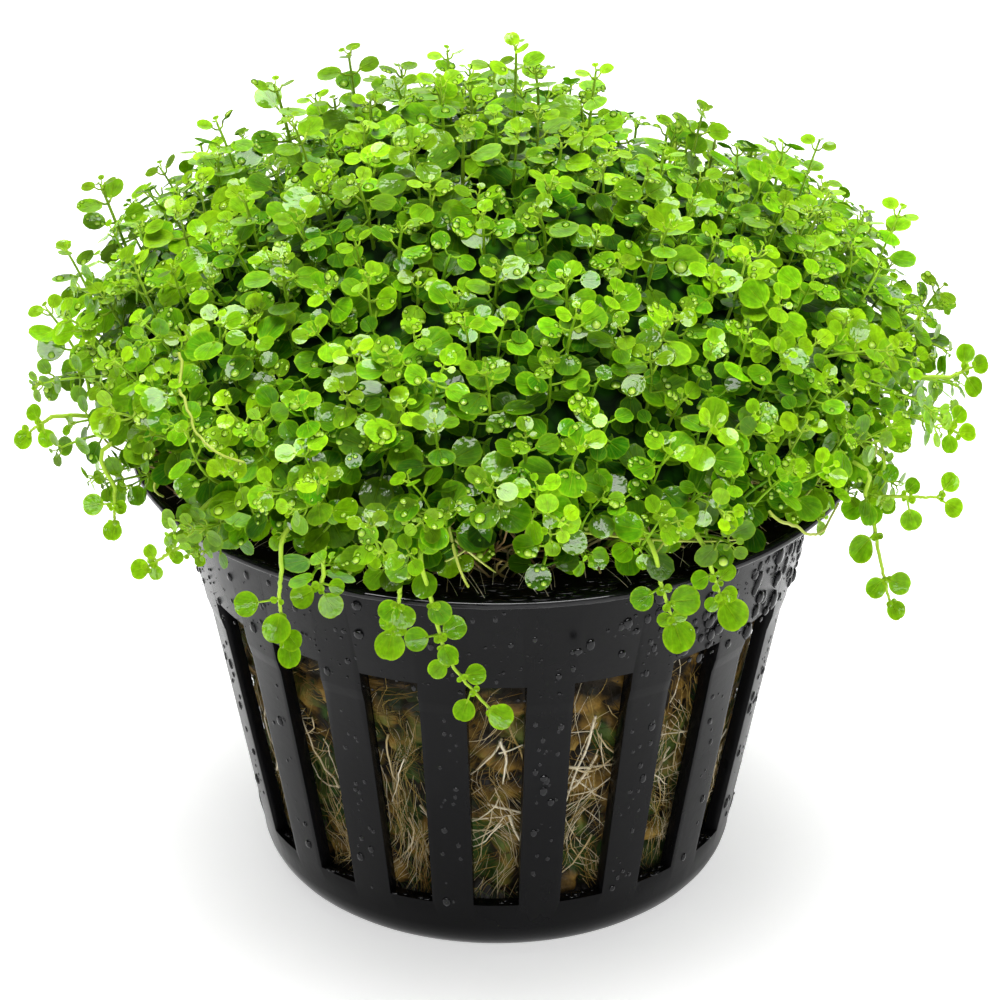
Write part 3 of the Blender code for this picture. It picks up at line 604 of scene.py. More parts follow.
def net_pot(finish):
    pot = turned("pot", pot_profile(), 240)
    shape = bmesh.new()
    for k in range(SLOT_COUNT):
        wedge(shape, 360.0 * k / SLOT_COUNT, slot_corner)
    for k in range(DRAIN_COUNT):
        wedge(shape, 360.0 * k / DRAIN_COUNT, drain_corner)
    mesh = bpy.data.meshes.new("pot_cutters")
    bmesh.ops.recalc_face_normals(shape, faces=shape.faces)
    shape.to_mesh(mesh)
    shape.free()
    cutter = placed("pot_cutters", mesh)
    cut = pot.modifiers.new("Slots", "BOOLEAN")
    cut.operation, cut.solver, cut.object = "DIFFERENCE", "EXACT", cutter
    bevel = pot.modifiers.new("Edges", "BEVEL")
    bevel.width, bevel.segments = 0.14 * MM, 2
    bevel.limit_method, bevel.angle_limit = "ANGLE", math.radians(50.0)
    bpy.context.view_layer.update()
    graph = bpy.context.evaluated_depsgraph_get()
    final = bpy.data.meshes.new_from_object(pot.evaluated_get(graph))
    pot.modifiers.clear()
    pot.data = final
    bpy.data.objects.remove(cutter)
    final.shade_smooth()
    final.set_sharp_from_angle(angle=math.radians(40.0))
    final.materials.clear()
    final.materials.append(finish)
    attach(pot, "root")
    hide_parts("net_pot")
    return pot


# Leaves


BLADE_THICKNESS, LEAF_WIDTH = 0.12, 1.03


def leaf_template(sides, rings):
    """A leaf as (x from base to tip, y across, ring, under) points, triangles and quads.

    The rings lie on the upper face and the last is the rim; the under side is a fan from the rim."""
    turn = np.arange(sides) * 2.0 * np.pi / sides
    notch = 0.08 * np.exp(-((np.minimum(turn, 2 * np.pi - turn) / 0.2) ** 2))
    point = 0.08 * np.exp(-(((turn - np.pi) / 0.35) ** 2))
    edge = 1.0 - notch + point + 0.012 * np.cos(3.0 * turn + 1.0)
    x, y = edge * np.cos(turn), edge * np.sin(turn) * LEAF_WIDTH
    rows = [(0.0, 0.0, 0.0, 0.0)]
    for ring in rings:
        rows += [(ring * a, ring * b, ring, 0.0) for a, b in zip(x, y)]
    rows.append((0.0, 0.0, 0.0, 1.0))
    step = np.arange(sides)
    after = (step + 1) % sides
    rim = 1 + (len(rings) - 1) * sides
    tris = np.concatenate((fan(0, 1 + step, 1 + after), fan(len(rows) - 1, rim + after, rim + step)))
    quads = np.zeros((0, 4), int)
    for start in range(1, rim, sides):
        outer = start + sides
        ring = np.stack((start + step, outer + step, outer + after, start + after), -1)
        quads = np.concatenate((quads, ring))
    return np.array(rows), {3: tris, 4: quads}


class Leaves:
    """Gathers leaves as arrays: foot, direction, facing, size, bend and tone."""

    def __init__(self):
        self.rows = {key: [] for key in ("foot", "along", "face", "size", "bend", "tone")}

    def add(self, *values):
        for rows, value in zip(self.rows.values(), values):
            rows.append(np.atleast_1d(value) if rows is self.rows["size"] else np.atleast_2d(value))

    def arrays(self):
        found = {key: np.concatenate(value) for key, value in self.rows.items()}
        normal = unit(found["face"])
        along = unit(found["along"] - dot(found["along"], normal) * normal * 0.85)
        normal = unit(normal - dot(normal, along) * along)
        found["along"], found["face"] = along, normal
        found["across"] = np.cross(normal, along) * (0.92 + 0.14 * found["tone"][:, :1])
        return found


def chosen(found, pick):
    """Some of the leaves, with their half sizes as a column."""
    leaf = SimpleNamespace(**{key: value[pick] for key, value in found.items()})
    leaf.half = leaf.size[:, None] / 2.0
    return leaf


def blade_rise(leaf, x, y, reach):
    """How far a blade rises at (x, y), where reach is the share of the way to the rim, squared."""
    cup, fold, curl = (leaf.bend[:, k : k + 1] for k in range(3))
    return leaf.half * (cup * reach + fold * np.abs(y) - curl * np.maximum(x, 0.0) ** 2)


def leaf_chunk(leaf, sides, rings):
    table, faces = leaf_template(sides, rings)
    x, y, ring, under = table.T
    z = blade_rise(leaf, x, y, ring**2) - BLADE_THICKNESS * under
    co = leaf.foot[:, None] + leaf.along[:, None] * (leaf.half * (x + 1.0))[..., None]
    co += leaf.across[:, None] * (leaf.half * y)[..., None]
    co += leaf.face[:, None] * z[..., None]
    count, points = co.shape[:2]
    uv = np.tile(np.stack(((x + 1.0) / 2.0, (y / 1.04 + 1.0) / 2.0), -1), (count, 1))
    values = {"uv": uv, "tone": np.repeat(leaf.tone, points, 0), "rim": np.tile(ring == 1.0, count)}
    return co.reshape(-1, 3), repeated(faces, count, points), values


# Mound


def dome_height(radius):
    share = np.minimum(radius / MOUND_RADIUS, 1.0) ** DOME_POWER
    return blend(MOUND_WIDEST, MOUND_TOP, (1.0 - share) ** (1.0 / DOME_POWER))


def skirt_radius(height):
    share = (MOUND_WIDEST - height) / (MOUND_WIDEST - SKIRT_HEIGHT)
    return blend(SKIRT_RADIUS, MOUND_RADIUS, np.sqrt(np.maximum(0.0, 1.0 - share * share)))


def mound_outline(share):
    """(radius, height) at shares of the way from the dome's top to the skirt's lower edge."""
    angle = np.pi / 2.0 * np.minimum(share / DOME_SHARE, 1.0)
    radius = MOUND_RADIUS * np.sin(angle) ** (2.0 / DOME_POWER)
    under = np.clip((share - DOME_SHARE) / (1.0 - DOME_SHARE), 0.0, SKIRT_SHARE) / SKIRT_SHARE
    low = blend(MOUND_WIDEST, SKIRT_HEIGHT, np.sin(under * np.pi / 2.0))
    on_dome = share < DOME_SHARE
    return np.where(on_dome, radius, skirt_radius(low)), np.where(on_dome, dome_height(radius), low)


def leaned(points):
    """How far the mound's leaning top carries points to the side."""
    rise = np.maximum(0.0, points[:, 2:] - MOUND_WIDEST) / (MOUND_TOP - MOUND_WIDEST)
    return np.array((DOME_LEAN, 0.0, 0.0)) * rise**2


def lumpy(points):
    """The points moved with the mound's lumps and with the lean of its top."""
    swell = np.clip((points[:, 2:] - SKIRT_HEIGHT) / (MOUND_WIDEST - SKIRT_HEIGHT), 0.0, 1.0)
    outward = unit(points - np.array((0.0, 0.0, SKIRT_HEIGHT)))
    wave = [noise.noise(Vector(p) / MOUND_LUMP_SIZE) for p in points]
    return points + outward * np.array(wave)[:, None] * MOUND_LUMP * swell + leaned(points)


def settled(points):
    """The points moved in at the mound's two sides and down on its back shoulders."""
    x, y = points[:, 0], points[:, 1]
    left, right = (np.clip(side * x / MOUND_RADIUS, 0.0, 1.0) ** 2 for side in (-1.0, 1.0))
    narrow = 1.0 - 0.06 * left - 0.03 * right
    shoulder = np.exp(-(((np.abs(x + 1.0) - 14.0) / 7.0) ** 2))
    sink = 1.5 * shoulder * np.clip(y / 8.0 + 0.6, 0.0, 1.0)
    return np.stack((x * narrow, y, points[:, 2] - sink), -1)


def fringe_gap(azimuth):
    """How open the fringe is at an azimuth, 0 to 1: soil shows over the lip at the front right."""
    open_share = sum(np.exp(-(((azimuth - place) / width) ** 2)) for place, width in FRINGE_GAPS)
    return np.minimum(1.4 * open_share, 1.0)


def canopy_places(rng, spacing):
    """Places spread evenly over the mound: azimuths, points and outward normals."""
    share = np.linspace(0.0, LOWEST_SHARE, 400)
    radius, height = mound_outline(share)
    length = np.hypot(np.diff(radius), np.diff(height))
    area = np.concatenate(([0.0], np.cumsum(length * (radius[1:] + radius[:-1]) / 2.0)))
    places = np.interp(rng.random(CANOPY_TRIES) * area[-1], area, share)
    azimuth = rng.uniform(-180.0, 180.0, len(places))
    radius, height = mound_outline(places)
    step = 0.002
    far, low = mound_outline(np.minimum(places + step, share[-1]))
    near, high = mound_outline(places - step * (places > step))
    slope = unit(np.stack((high - low, far - near), -1))
    points = polar(azimuth, radius, height)
    lowest = SKIRT_HEIGHT - 0.2 + 4.8 * fringe_gap(azimuth)
    apart = spacing * (1.0 + SKIRT_THINNING * np.clip((FRINGE_TOP - height) / 5.0, 0.0, 1.0))
    kept = []
    for k, point in enumerate(points):
        if height[k] < lowest[k]:
            continue
        if not kept or np.linalg.norm(points[kept] - point, axis=1).min() > apart[k]:
            kept.append(k)
    normal = polar(azimuth[kept], slope[kept, 0], slope[kept, 1])
    return azimuth[kept], settled(lumpy(points[kept])), unit(normal)


# Nodes of a shoot: distance below its tip, leaf size, how young and how deep in the shade
OUTER_NODES = (
    (0.05, 0.6, 1.0, 0.0),
    (0.45, 1.35, 0.75, 0.0),
    (1.7, 2.08, 0.3, 0.06),
    (3.4, 2.28, 0.05, 0.5),
    (5.3, 2.15, 0.0, 0.95),
)
INNER_NODES = (
    (0.1, 1.4, 0.15, 0.5),
    (1.4, 2.0, 0.0, 0.75),
    (3.2, 2.1, 0.0, 1.0),
)
RIM_NODES = (
    (0.05, 0.5, 1.0, 0.0),
    (0.4, 1.2, 0.7, 0.0),
    (1.6, 1.7, 0.3, 0.05),
    (3.2, 1.9, 0.1, 0.35),
)
SHOOT_POINTS, SHOOT_RADII = 8, (0.15, 0.085)
TONE_SPREAD = (0.17, 0.08, 0.08)
DEEP_SHADE = 0.65
CANOPY_SPACING, INNER_SPACING, CANOPY_TRIES = 2.95, 2.75, 9000
FRINGE_TOP, SKIRT_THINNING = 43.0, 1.05

# Where soil shows over the lip, as azimuth and width in degrees
FRINGE_GAPS = ((4.5, 12.0), (40.0, 9.0), (-66.0, 15.0), (140.0, 12.0), (-150.0, 10.0))


class Foliage:
    """Leaves, petioles and stems gathered for all the shoots."""

    def __init__(self):
        self.leaves, self.petioles, self.stems = Leaves(), [], []

    def add_pair(self, rng, joints, along, face, size, turn, tone, young):
        """An opposite pair of leaves on each joint, turned by an angle round the stem."""
        helper = np.where(np.abs(along[:, 2:]) < 0.9, UP, np.array((1.0, 0.0, 0.0)))
        first = unit(np.cross(along, helper))
        second = np.cross(along, first)
        count = len(turn)
        for side in (0.0, np.pi):
            swing = (turn + side + rng.normal(0.0, 0.16, count))[:, None]
            out = first * np.cos(swing) + second * np.sin(swing)
            raised = blend(0.25, 1.2, young) + rng.normal(0.0, 0.14, (count, 1))
            way = unit(out + along * raised)
            reach = (0.2 + 0.32 * size)[:, None]
            foot = joints + way * reach
            wobble = rng.normal(0.0, 0.26, face.shape)
            normal = unit(face + wobble - out * 0.1 + along * 0.35)
            cup, fold = rng.normal(0.02, 0.07, count), np.abs(rng.normal(0.03, 0.03, count))
            own = np.clip(tone + rng.normal(0.0, 1.0, (count, 3)) * TONE_SPREAD, 0.0, 1.0)
            scale = size * rng.uniform(0.84, 1.08, count)
            bend = np.stack((cup, fold, fold), -1)
            self.leaves.add(foot, way, normal, scale, bend, own)
            end = foot + way * 0.12 * scale[:, None]
            thick = (0.055 + 0.03 * size)[:, None] * np.array((1.0, 0.85, 0.8))
            if tone[:, 2].mean() > DEEP_SHADE:
                self.petioles.append((np.stack((joints, end), 1), thick[:, :2], own))
            else:
                bow = joints + out * reach * 0.5
                self.petioles.append((curved(joints, bow, end, 3), thick, own))

    def grow(self, rng, path, face, lime, nodes, thick, scale):
        """Shoots along paths (n, k, 3) with crossed pairs of leaves at the nodes below each tip."""
        count, last = len(path), path.shape[1] - 1
        along = unit(np.gradient(path, axis=1))
        bright = shares(rng, 0.48, 0.22, count)
        scale = scale * rng.uniform(0.82, 1.04, count)
        stretch = rng.uniform(0.85, 1.3, count)
        turn = rng.uniform(0.0, np.pi, count)
        whole = np.linalg.norm(np.diff(path, axis=1), axis=2).sum(1)
        rows = np.arange(count)
        for k, (below, size, youth, depth) in enumerate(nodes):
            share = 1.0 - below * stretch / whole
            spot = np.clip(share, 0.0, 1.0) * last
            low = np.minimum(spot.astype(int), last - 1)
            part = (spot - low)[:, None]
            joint = blend(path[rows, low], path[rows, low + 1], part)
            way = unit(blend(along[rows, low], along[rows, low + 1], part))
            # The tone's blue is the node's painted shade, from the depth column.
            tone = np.stack((bright, np.clip(youth * 0.7 + lime, 0.0, 1.0), np.full(count, depth)), -1)
            facing = unit(face * (1.0 - 0.4 * youth) + way * 0.5 * youth)
            swing = turn + k * np.pi / 2.0 + rng.normal(0.0, 0.2, count)
            ok = share > 0.02
            own = (values[ok] for values in (joint, way, facing, size * scale, swing, tone))
            self.add_pair(rng, *own, youth)
        # The stem's blue tone is painted shade, centred 0.35 above its tip node's shade.
        tone = np.stack((bright, lime, shares(rng, 0.35 + nodes[0][3], 0.13, count)), -1)
        radii = np.linspace(*thick, last + 1)[None] * rng.uniform(0.85, 1.15, count)[:, None]
        self.stems.append((path, radii, tone))

    def grow_small(self, rng, path, face, loose, lime, thick, scale):
        """Small shoots along paths, their leaves turned loosely to a side."""
        face = unit(face + rng.normal(0.0, loose, face.shape))
        self.grow(rng, path, face, shares(rng, *lime, len(path)), RIM_NODES, thick, scale)


def shoot_path(tip, grow, normal, length, rng):
    """Curves that come up out of the mound and turn towards grow at the tip."""
    base = tip - (normal * 0.62 + UP * 0.45) * length[:, None]
    base[:, 2] = np.maximum(base[:, 2], 33.0)
    middle = tip - grow * (length * 0.55)[:, None] + rng.normal(0.0, 0.45, tip.shape)
    return curved(base, middle, tip, SHOOT_POINTS)


def leaf_facing(rng, azimuth, normal):
    """Which way a shoot's leaves face: outwards and up, and forwards on the mound's sides."""
    front = np.exp(-((azimuth / 110.0) ** 4))
    side = np.abs(np.sin(np.radians(azimuth))) * front
    tilt = np.clip(1.0 - normal[:, 2], 0.0, 1.0)
    face = normal * 0.6 + UP * 0.5
    crown = np.clip((normal[:, 2] - 0.7) / 0.2, 0.0, 1.0)
    face[:, 1] -= 0.6 * side * tilt + 0.18 * front + 0.3 * crown
    return unit(face + rng.normal(0.0, 0.2, normal.shape))


def canopy(rng, foliage):
    """The shoots that make the mound's surface, with the tall ones."""
    azimuth, tip, normal = canopy_places(rng, CANOPY_SPACING)
    tall_azimuth, tall_radius, tall_length = np.array(TALL_SPRIGS).T
    tall_foot = lumpy(polar(tall_azimuth, tall_radius, dome_height(tall_radius)))
    apart = np.linalg.norm(tip[:, None] - tall_foot[None], axis=2).min(1) > 1.6
    azimuth, tip, normal = azimuth[apart], tip[apart], normal[apart]
    count = len(tip)
    lift = np.clip(rng.normal(-0.15, 0.7, count) + (rng.random(count) < 0.12) * 1.0, -1.6, 1.7)
    grow = unit(normal * 0.75 + UP * 0.5 + rng.normal(0.0, 0.2, (count, 3)))
    tip = tip + grow * lift[:, None]
    length = rng.uniform(6.6, 8.6, count)
    lime = np.clip(rng.normal(0.08, 0.14, count) + (rng.random(count) < 0.12) * 0.45, 0.0, 1.0)
    # Painted light: shoots high on the top or far out at the sides are made limer, as if more lit.
    lit = np.maximum((tip[:, 2] - 50.0) / 8.0, (np.abs(tip[:, 0]) - 15.0) / 12.0)
    lime = lime + 0.16 * np.clip(lit, 0.0, 1.0)
    path = shoot_path(tip, grow, normal, length, rng)
    foliage.grow(rng, path, leaf_facing(rng, azimuth, normal), lime, OUTER_NODES, SHOOT_RADII, 1.0)
    rise = tall_length - 0.5
    normal = unit(polar(tall_azimuth, tall_radius / MOUND_RADIUS * 0.8, 1.0))
    grow = unit(normal + UP * 0.5)
    path = shoot_path(tall_foot + grow * rise[:, None], grow, normal, rise + 5.5, rng)
    face = unit(normal * 0.3 + np.array((0.0, -0.6, 0.7)) + rng.normal(0.0, 0.25, normal.shape))
    lime = rng.uniform(0.15, 0.4, len(rise))
    foliage.grow(rng, path, face, lime, OUTER_NODES, (0.14, 0.085), 0.92)


def under_canopy(rng, foliage):
    """Lower, shaded shoots that show between the outer ones."""
    azimuth, tip, normal = canopy_places(rng, INNER_SPACING)
    high = tip[:, 2] > MOUND_WIDEST
    azimuth, tip, normal = azimuth[high], tip[high], normal[high]
    count = len(tip)
    tip = tip - normal * rng.uniform(1.7, 3.4, count)[:, None]
    grow = unit(normal * 0.7 + UP * 0.5 + rng.normal(0.0, 0.25, (count, 3)))
    path = shoot_path(tip, grow, normal, rng.uniform(4.2, 5.5, count), rng)
    lime = shares(rng, 0.0, 0.06, count)
    foliage.grow(rng, path, leaf_facing(rng, azimuth, normal), lime, INNER_NODES, (0.17, 0.12), 1.0)


def rim_shoots(rng, foliage):
    """Shoots that lean out over the lip from the soil, fewer where the fringe is open."""
    azimuth = np.linspace(-180.0, 177.0, 84) + rng.uniform(-2.0, 2.0, 84)
    azimuth = azimuth[rng.random(len(azimuth)) > 1.05 * fringe_gap(azimuth)]
    count = len(azimuth)
    out = rng.uniform(23.0, 28.0, count)
    rise = 35.2 + (out - 23.0) * 0.2 + rng.uniform(0.0, 1.8, count)
    base = polar(azimuth + rng.normal(0.0, 7.0, count), rng.uniform(15.0, 20.0, count), 32.5)
    middle = polar(azimuth, out - rng.uniform(2.5, 4.0, count), rise + rng.uniform(0.2, 1.2, count))
    path = curved(base, middle, polar(azimuth, out, rise), SHOOT_POINTS)
    face = polar(azimuth, 0.75, 0.65)
    foliage.grow_small(rng, path, face, 0.15, (0.2, 0.15), SHOOT_RADII, 1.0)


def sprig_path(rng, azimuth, out, height, depth, way, middle_rise, base_rise):
    """Paths to points on the mound's side, from further in and up (way 1) or down (way -1)."""
    count = len(azimuth)

    def inside(loose, inwards, rise):
        around = azimuth + rng.normal(0.0, loose, count)
        return polar(around, out - inwards, height + way * rng.uniform(*rise, count))

    middle = inside(2.0, 2.6, middle_rise)
    return curved(inside(3.0, depth, base_rise), middle, polar(azimuth, out, height), SHOOT_POINTS)


def side_sprigs(rng, foliage):
    """Small shoots that stand out of the mound's widest part, and others by the trailing stems."""
    count = 42
    azimuth = np.linspace(-180.0, 176.0, count) + rng.uniform(-3.0, 3.0, count)
    height = rng.uniform(37.5, 46.0, count) + 3.0 * fringe_gap(azimuth)
    slope = np.clip((height - MOUND_WIDEST) / (MOUND_TOP - MOUND_WIDEST), 0.0, 1.0) ** DOME_POWER
    dome = MOUND_RADIUS * (1.0 - slope) ** (1.0 / DOME_POWER)
    radius = np.where(height < MOUND_WIDEST, skirt_radius(height), dome)
    out = np.minimum(radius * 0.97 + rng.uniform(0.4, 2.4, count), 32.0)
    path = sprig_path(rng, azimuth, out, height, 6.5, -1.0, (-0.2, 0.8), (0.5, 2.0))
    face = polar(azimuth, 0.3, 0.5) + np.array((0.0, -0.45, 0.0))
    foliage.grow_small(rng, path, face, 0.3, (0.25, 0.15), (0.14, 0.08), 0.9)
    routes = [route for name, (route, _, _) in TRAILING_STEMS.items() if not name.startswith("front")]
    azimuth, out, height = np.repeat(np.array([route[0] for route in routes]), 4, 0).T
    count = len(azimuth)
    azimuth = azimuth + rng.normal(0.0, 4.0, count)
    out = np.clip(out + rng.uniform(-1.5, 1.8, count), 27.0, 32.5)
    height = np.maximum(height + rng.uniform(-1.6, 3.0, count), 35.0)
    path = sprig_path(rng, azimuth, out, height, 7.0, 1.0, (0.4, 1.6), (-0.5, 0.5))
    face = polar(azimuth, 0.4, 0.4) + np.array((0.0, -0.5, 0.0))
    foliage.grow_small(rng, path, face, 0.25, (0.3, 0.12), (0.14, 0.08), 0.85)


# Water drops


SMALL_DROP = ((1.0, 0.0), (0.78, 0.62))
LARGE_DROP = ((1.0, 0.0), (0.9, 0.45), (0.55, 0.82))

# The three largest drops on the collar: azimuth, height and radius
LONE_DROPS = ((24.8, 31.4, 0.7), (-6.0, 30.2, 0.34), (14.0, 28.0, 0.3))


def drops(frames, radius, squat, sides, rows, sunk=0.0, tone=None):
    """Domed drops on (place, along, across, up) frames, from rows of shares of radius and height."""
    place, along, across, up = frames
    turn = np.arange(sides) * 2.0 * np.pi / sides
    table = [(r * math.cos(t), r * math.sin(t), h) for r, h in rows for t in turn]
    x, y, z = np.array(table + [(0.0, 0.0, 0.92), (0.0, 0.0, 0.0)]).T
    radius = radius[:, None]
    co = (place - up * sunk)[:, None] + along[:, None] * (x * radius)[..., None]
    co += across[:, None] * (y * radius)[..., None] + up[:, None] * (z * radius * squat)[..., None]
    count, points = co.shape[:2]
    step = np.arange(sides)
    after = (step + 1) % sides
    top = (len(rows) - 1) * sides
    tris = np.concatenate((fan(points - 2, top + step, top + after), fan(points - 1, after, step)))
    quads = [
        np.stack((low + step, low + after, low + sides + after, low + sides + step), -1)
        for low in range(0, top, sides)
    ]
    faces = repeated({3: tris, 4: np.concatenate(quads)}, count, points)
    return co.reshape(-1, 3), faces, {} if tone is None else {"tone": np.repeat(tone, points, 0)}


def on_blade(leaf, x, y):
    """Points on the upper face of leaves, at shares of their half size."""
    x, y = x[:, None], y[:, None]
    flat = leaf.foot + leaf.along * leaf.half * (x + 1.0) + leaf.across * leaf.half * y
    return flat + leaf.face * blade_rise(leaf, x, y, x * x + y * y)


def dew(rng, found, finish):
    """Small drops round the rims of the outer leaves, and a large one at some of their low ends."""
    lit = (found["tone"][:, 2] < 0.6) & (found["face"][:, 2] > 0.2)
    outer = np.flatnonzero(lit & (found["size"] > 1.15))
    wet = outer[rng.random(len(outer)) < 0.4]
    leaf = chosen(found, np.repeat(wet, rng.integers(2, 7, len(wet))))
    count = len(leaf.size)
    turn = rng.uniform(0.0, 2.0 * np.pi, count)
    reach = np.sqrt(rng.uniform(0.3, 0.78, count))
    radius = np.minimum(rng.lognormal(-1.62, 0.33, count), 0.34)
    place = on_blade(leaf, reach * np.cos(turn), reach * np.sin(turn))
    frames = (place, leaf.along, leaf.across, leaf.face)
    chunk = drops(frames, radius, 0.75, 7, SMALL_DROP, 0.01, leaf.tone)
    make_mesh("dew_drops", [chunk], finish)
    leaf = chosen(found, outer[(rng.random(len(outer)) < 0.3) & (found["size"][outer] > 1.4)])
    count = len(leaf.size)
    down = -UP + dot(UP, leaf.face) * leaf.face
    down = unit(down + rng.normal(0.0, 0.25, (count, 3)))
    reach = rng.uniform(0.35, 0.66, count)
    radius = leaf.size / 2.0 * rng.uniform(0.24, 0.46, count)
    place = on_blade(leaf, reach * dot(down, leaf.along)[:, 0], reach * dot(down, leaf.across)[:, 0])
    frames = (place, leaf.along, leaf.across, leaf.face)
    # Large drops get a higher youth tone, which paints them paler and brighter, as light focused through
    # them.
    chunk = drops(frames, radius, 0.8, 11, LARGE_DROP, 0.01, leaf.tone + (0.0, 0.25, 0.0))
    make_mesh("large_drops", [chunk], finish)


def lip_film(finish):
    """The film of water that rounds the lip's edge."""
    half = LIP_THICKNESS / 2.0
    path = polar(np.linspace(-180.0, 180.0, 361), LIP_RADIUS - half, POT_HEIGHT - half)[None]
    swell = np.clip(octave_noise(path[0], 1.4, 12.0)[None], 0.0, 1.0)
    film = make_mesh("lip_film", [tubes(path, half + 0.012 + 0.06 * swell, 10)], finish)


def on_wall(azimuth, radius, height):
    """Frames on the pot's outside: place, along, down and out."""
    place = polar(azimuth, radius, height)
    out = unit(place * (1.0, 1.0, 0.0) - UP * 4.0)
    side = unit(np.cross(UP, out))
    return [place, side, np.cross(side, out), out]


def puddles(rng, turn, radius, level, widths, stretches, squat):
    """Flat water on level plastic, stretched along the ring."""
    place = polar(turn, radius, level)
    width = rng.uniform(*widths, len(turn))
    along = polar(turn + 90.0, 1.0, 0.0) * rng.uniform(*stretches, (len(turn), 1))
    frames = (place, along, polar(turn, 1.0, 0.0), np.broadcast_to(UP, place.shape))
    return drops(frames, width, squat, 10, SMALL_DROP)


def collar_drops(rng, finish):
    """Drops on the pot's outside: many on the collar's right side, fewer elsewhere."""
    right = rng.uniform(0.0, 1.0, 330) ** 0.75 * 90.0 + 22.0
    azimuth = np.concatenate((right, rng.uniform(-180.0, 180.0, 230)))
    height = rng.uniform(COLLAR_FOOT_HEIGHT + 1.0, POT_HEIGHT - 1.6, len(azimuth))
    ribs = slot_azimuths(rng, 420, 2.6) + 180.0 / SLOT_COUNT
    low = rng.uniform(WALL_FOOT_HEIGHT, COLLAR_FOOT_HEIGHT - 1.4, len(ribs))
    azimuth = np.concatenate((azimuth, ribs))
    radius = np.concatenate((collar_radius(height), wall_radius(low)))
    frames = on_wall(azimuth, radius, np.concatenate((height, low)))
    size = np.minimum(rng.lognormal(-1.7, 0.45, len(azimuth)), 0.42)
    size[: len(right)] *= 1.3
    size[-len(ribs) :] *= 0.75
    frames[2] = frames[2] * rng.uniform(1.0, 1.7, (len(azimuth), 1))
    chunks = [drops(frames, size, 0.6, 7, LARGE_DROP, 0.02)]
    azimuth = rng.uniform(-180.0, 180.0, 900)
    height = rng.uniform(COLLAR_FOOT_HEIGHT + 0.5, POT_HEIGHT - 1.6, len(azimuth))
    size = np.minimum(rng.lognormal(-2.6, 0.4, len(azimuth)), 0.16)
    frames = on_wall(azimuth, collar_radius(height), height)
    chunks.append(drops(frames, size, 0.7, 6, SMALL_DROP, 0.01))
    azimuth, height, size = np.array(LONE_DROPS).T
    chunks.append(drops(on_wall(azimuth, 23.0, height), size, 0.5, 24, LARGE_DROP, 0.05))
    turn = np.concatenate((rng.uniform(-12.0, 34.0, 60), rng.uniform(-180.0, 180.0, 110)))
    radius = rng.uniform(23.0, 25.7, len(turn))
    chunks.append(puddles(rng, turn, radius, POT_HEIGHT, (0.1, 0.34), (1.0, 3.2), 0.4))
    turn = slot_azimuths(rng, 120, 4.4)
    radius = WALL_FOOT_RADIUS - rng.uniform(0.2, 0.8, len(turn))
    chunks.append(puddles(rng, turn, radius, SLOT_FOOT, (0.12, 0.3), (1.0, 1.8), 0.6))
    make_mesh("pot_drops", chunks, finish)


# Trailing stems


STEM_POINTS = 40


def at_share(points, share):
    place = min(share * (len(points) - 1), len(points) - 1.001)
    k = int(place)
    step = points[k + 1] - points[k]
    return points[k] + step * (place - k), unit(step)


def smooth_path(points, count):
    """A Catmull-Rom curve through points, evenly counted."""
    ends = np.concatenate(([2 * points[0] - points[1]], points, [2 * points[-1] - points[-2]]))
    place = np.linspace(0.0, len(points) - 1.0, count)
    low = np.minimum(place.astype(int), len(points) - 2)
    t = (place - low)[:, None]
    a, b, c, d = (ends[low + k] for k in range(4))
    bend, twist = 2 * a - 5 * b + 4 * c - d, 3 * b - a - 3 * c + d
    return 0.5 * (2 * b + (c - a) * t + bend * t**2 + twist * t**3)


def stem_root(corners, route):
    """Where a trailing stem comes from: down over the fringe, or straight out of the mound."""
    (first, radius, height), (second, _, low) = route[0], route[1]
    outward = unit(corners[0] * (1.0, 1.0, 0.0))
    if height > SKIRT_HEIGHT:
        return [corners[0] - outward * 4.0 - UP * 0.6, corners[0] - outward * 1.8 - UP * 0.1]
    climb = 3.0
    above = first - (second - first) * min(climb / max(height - low, 1.5), 1.2)
    crest = polar(above, radius + 0.7, height + climb)
    return [crest - outward * 4.5 + UP * 1.2, crest]


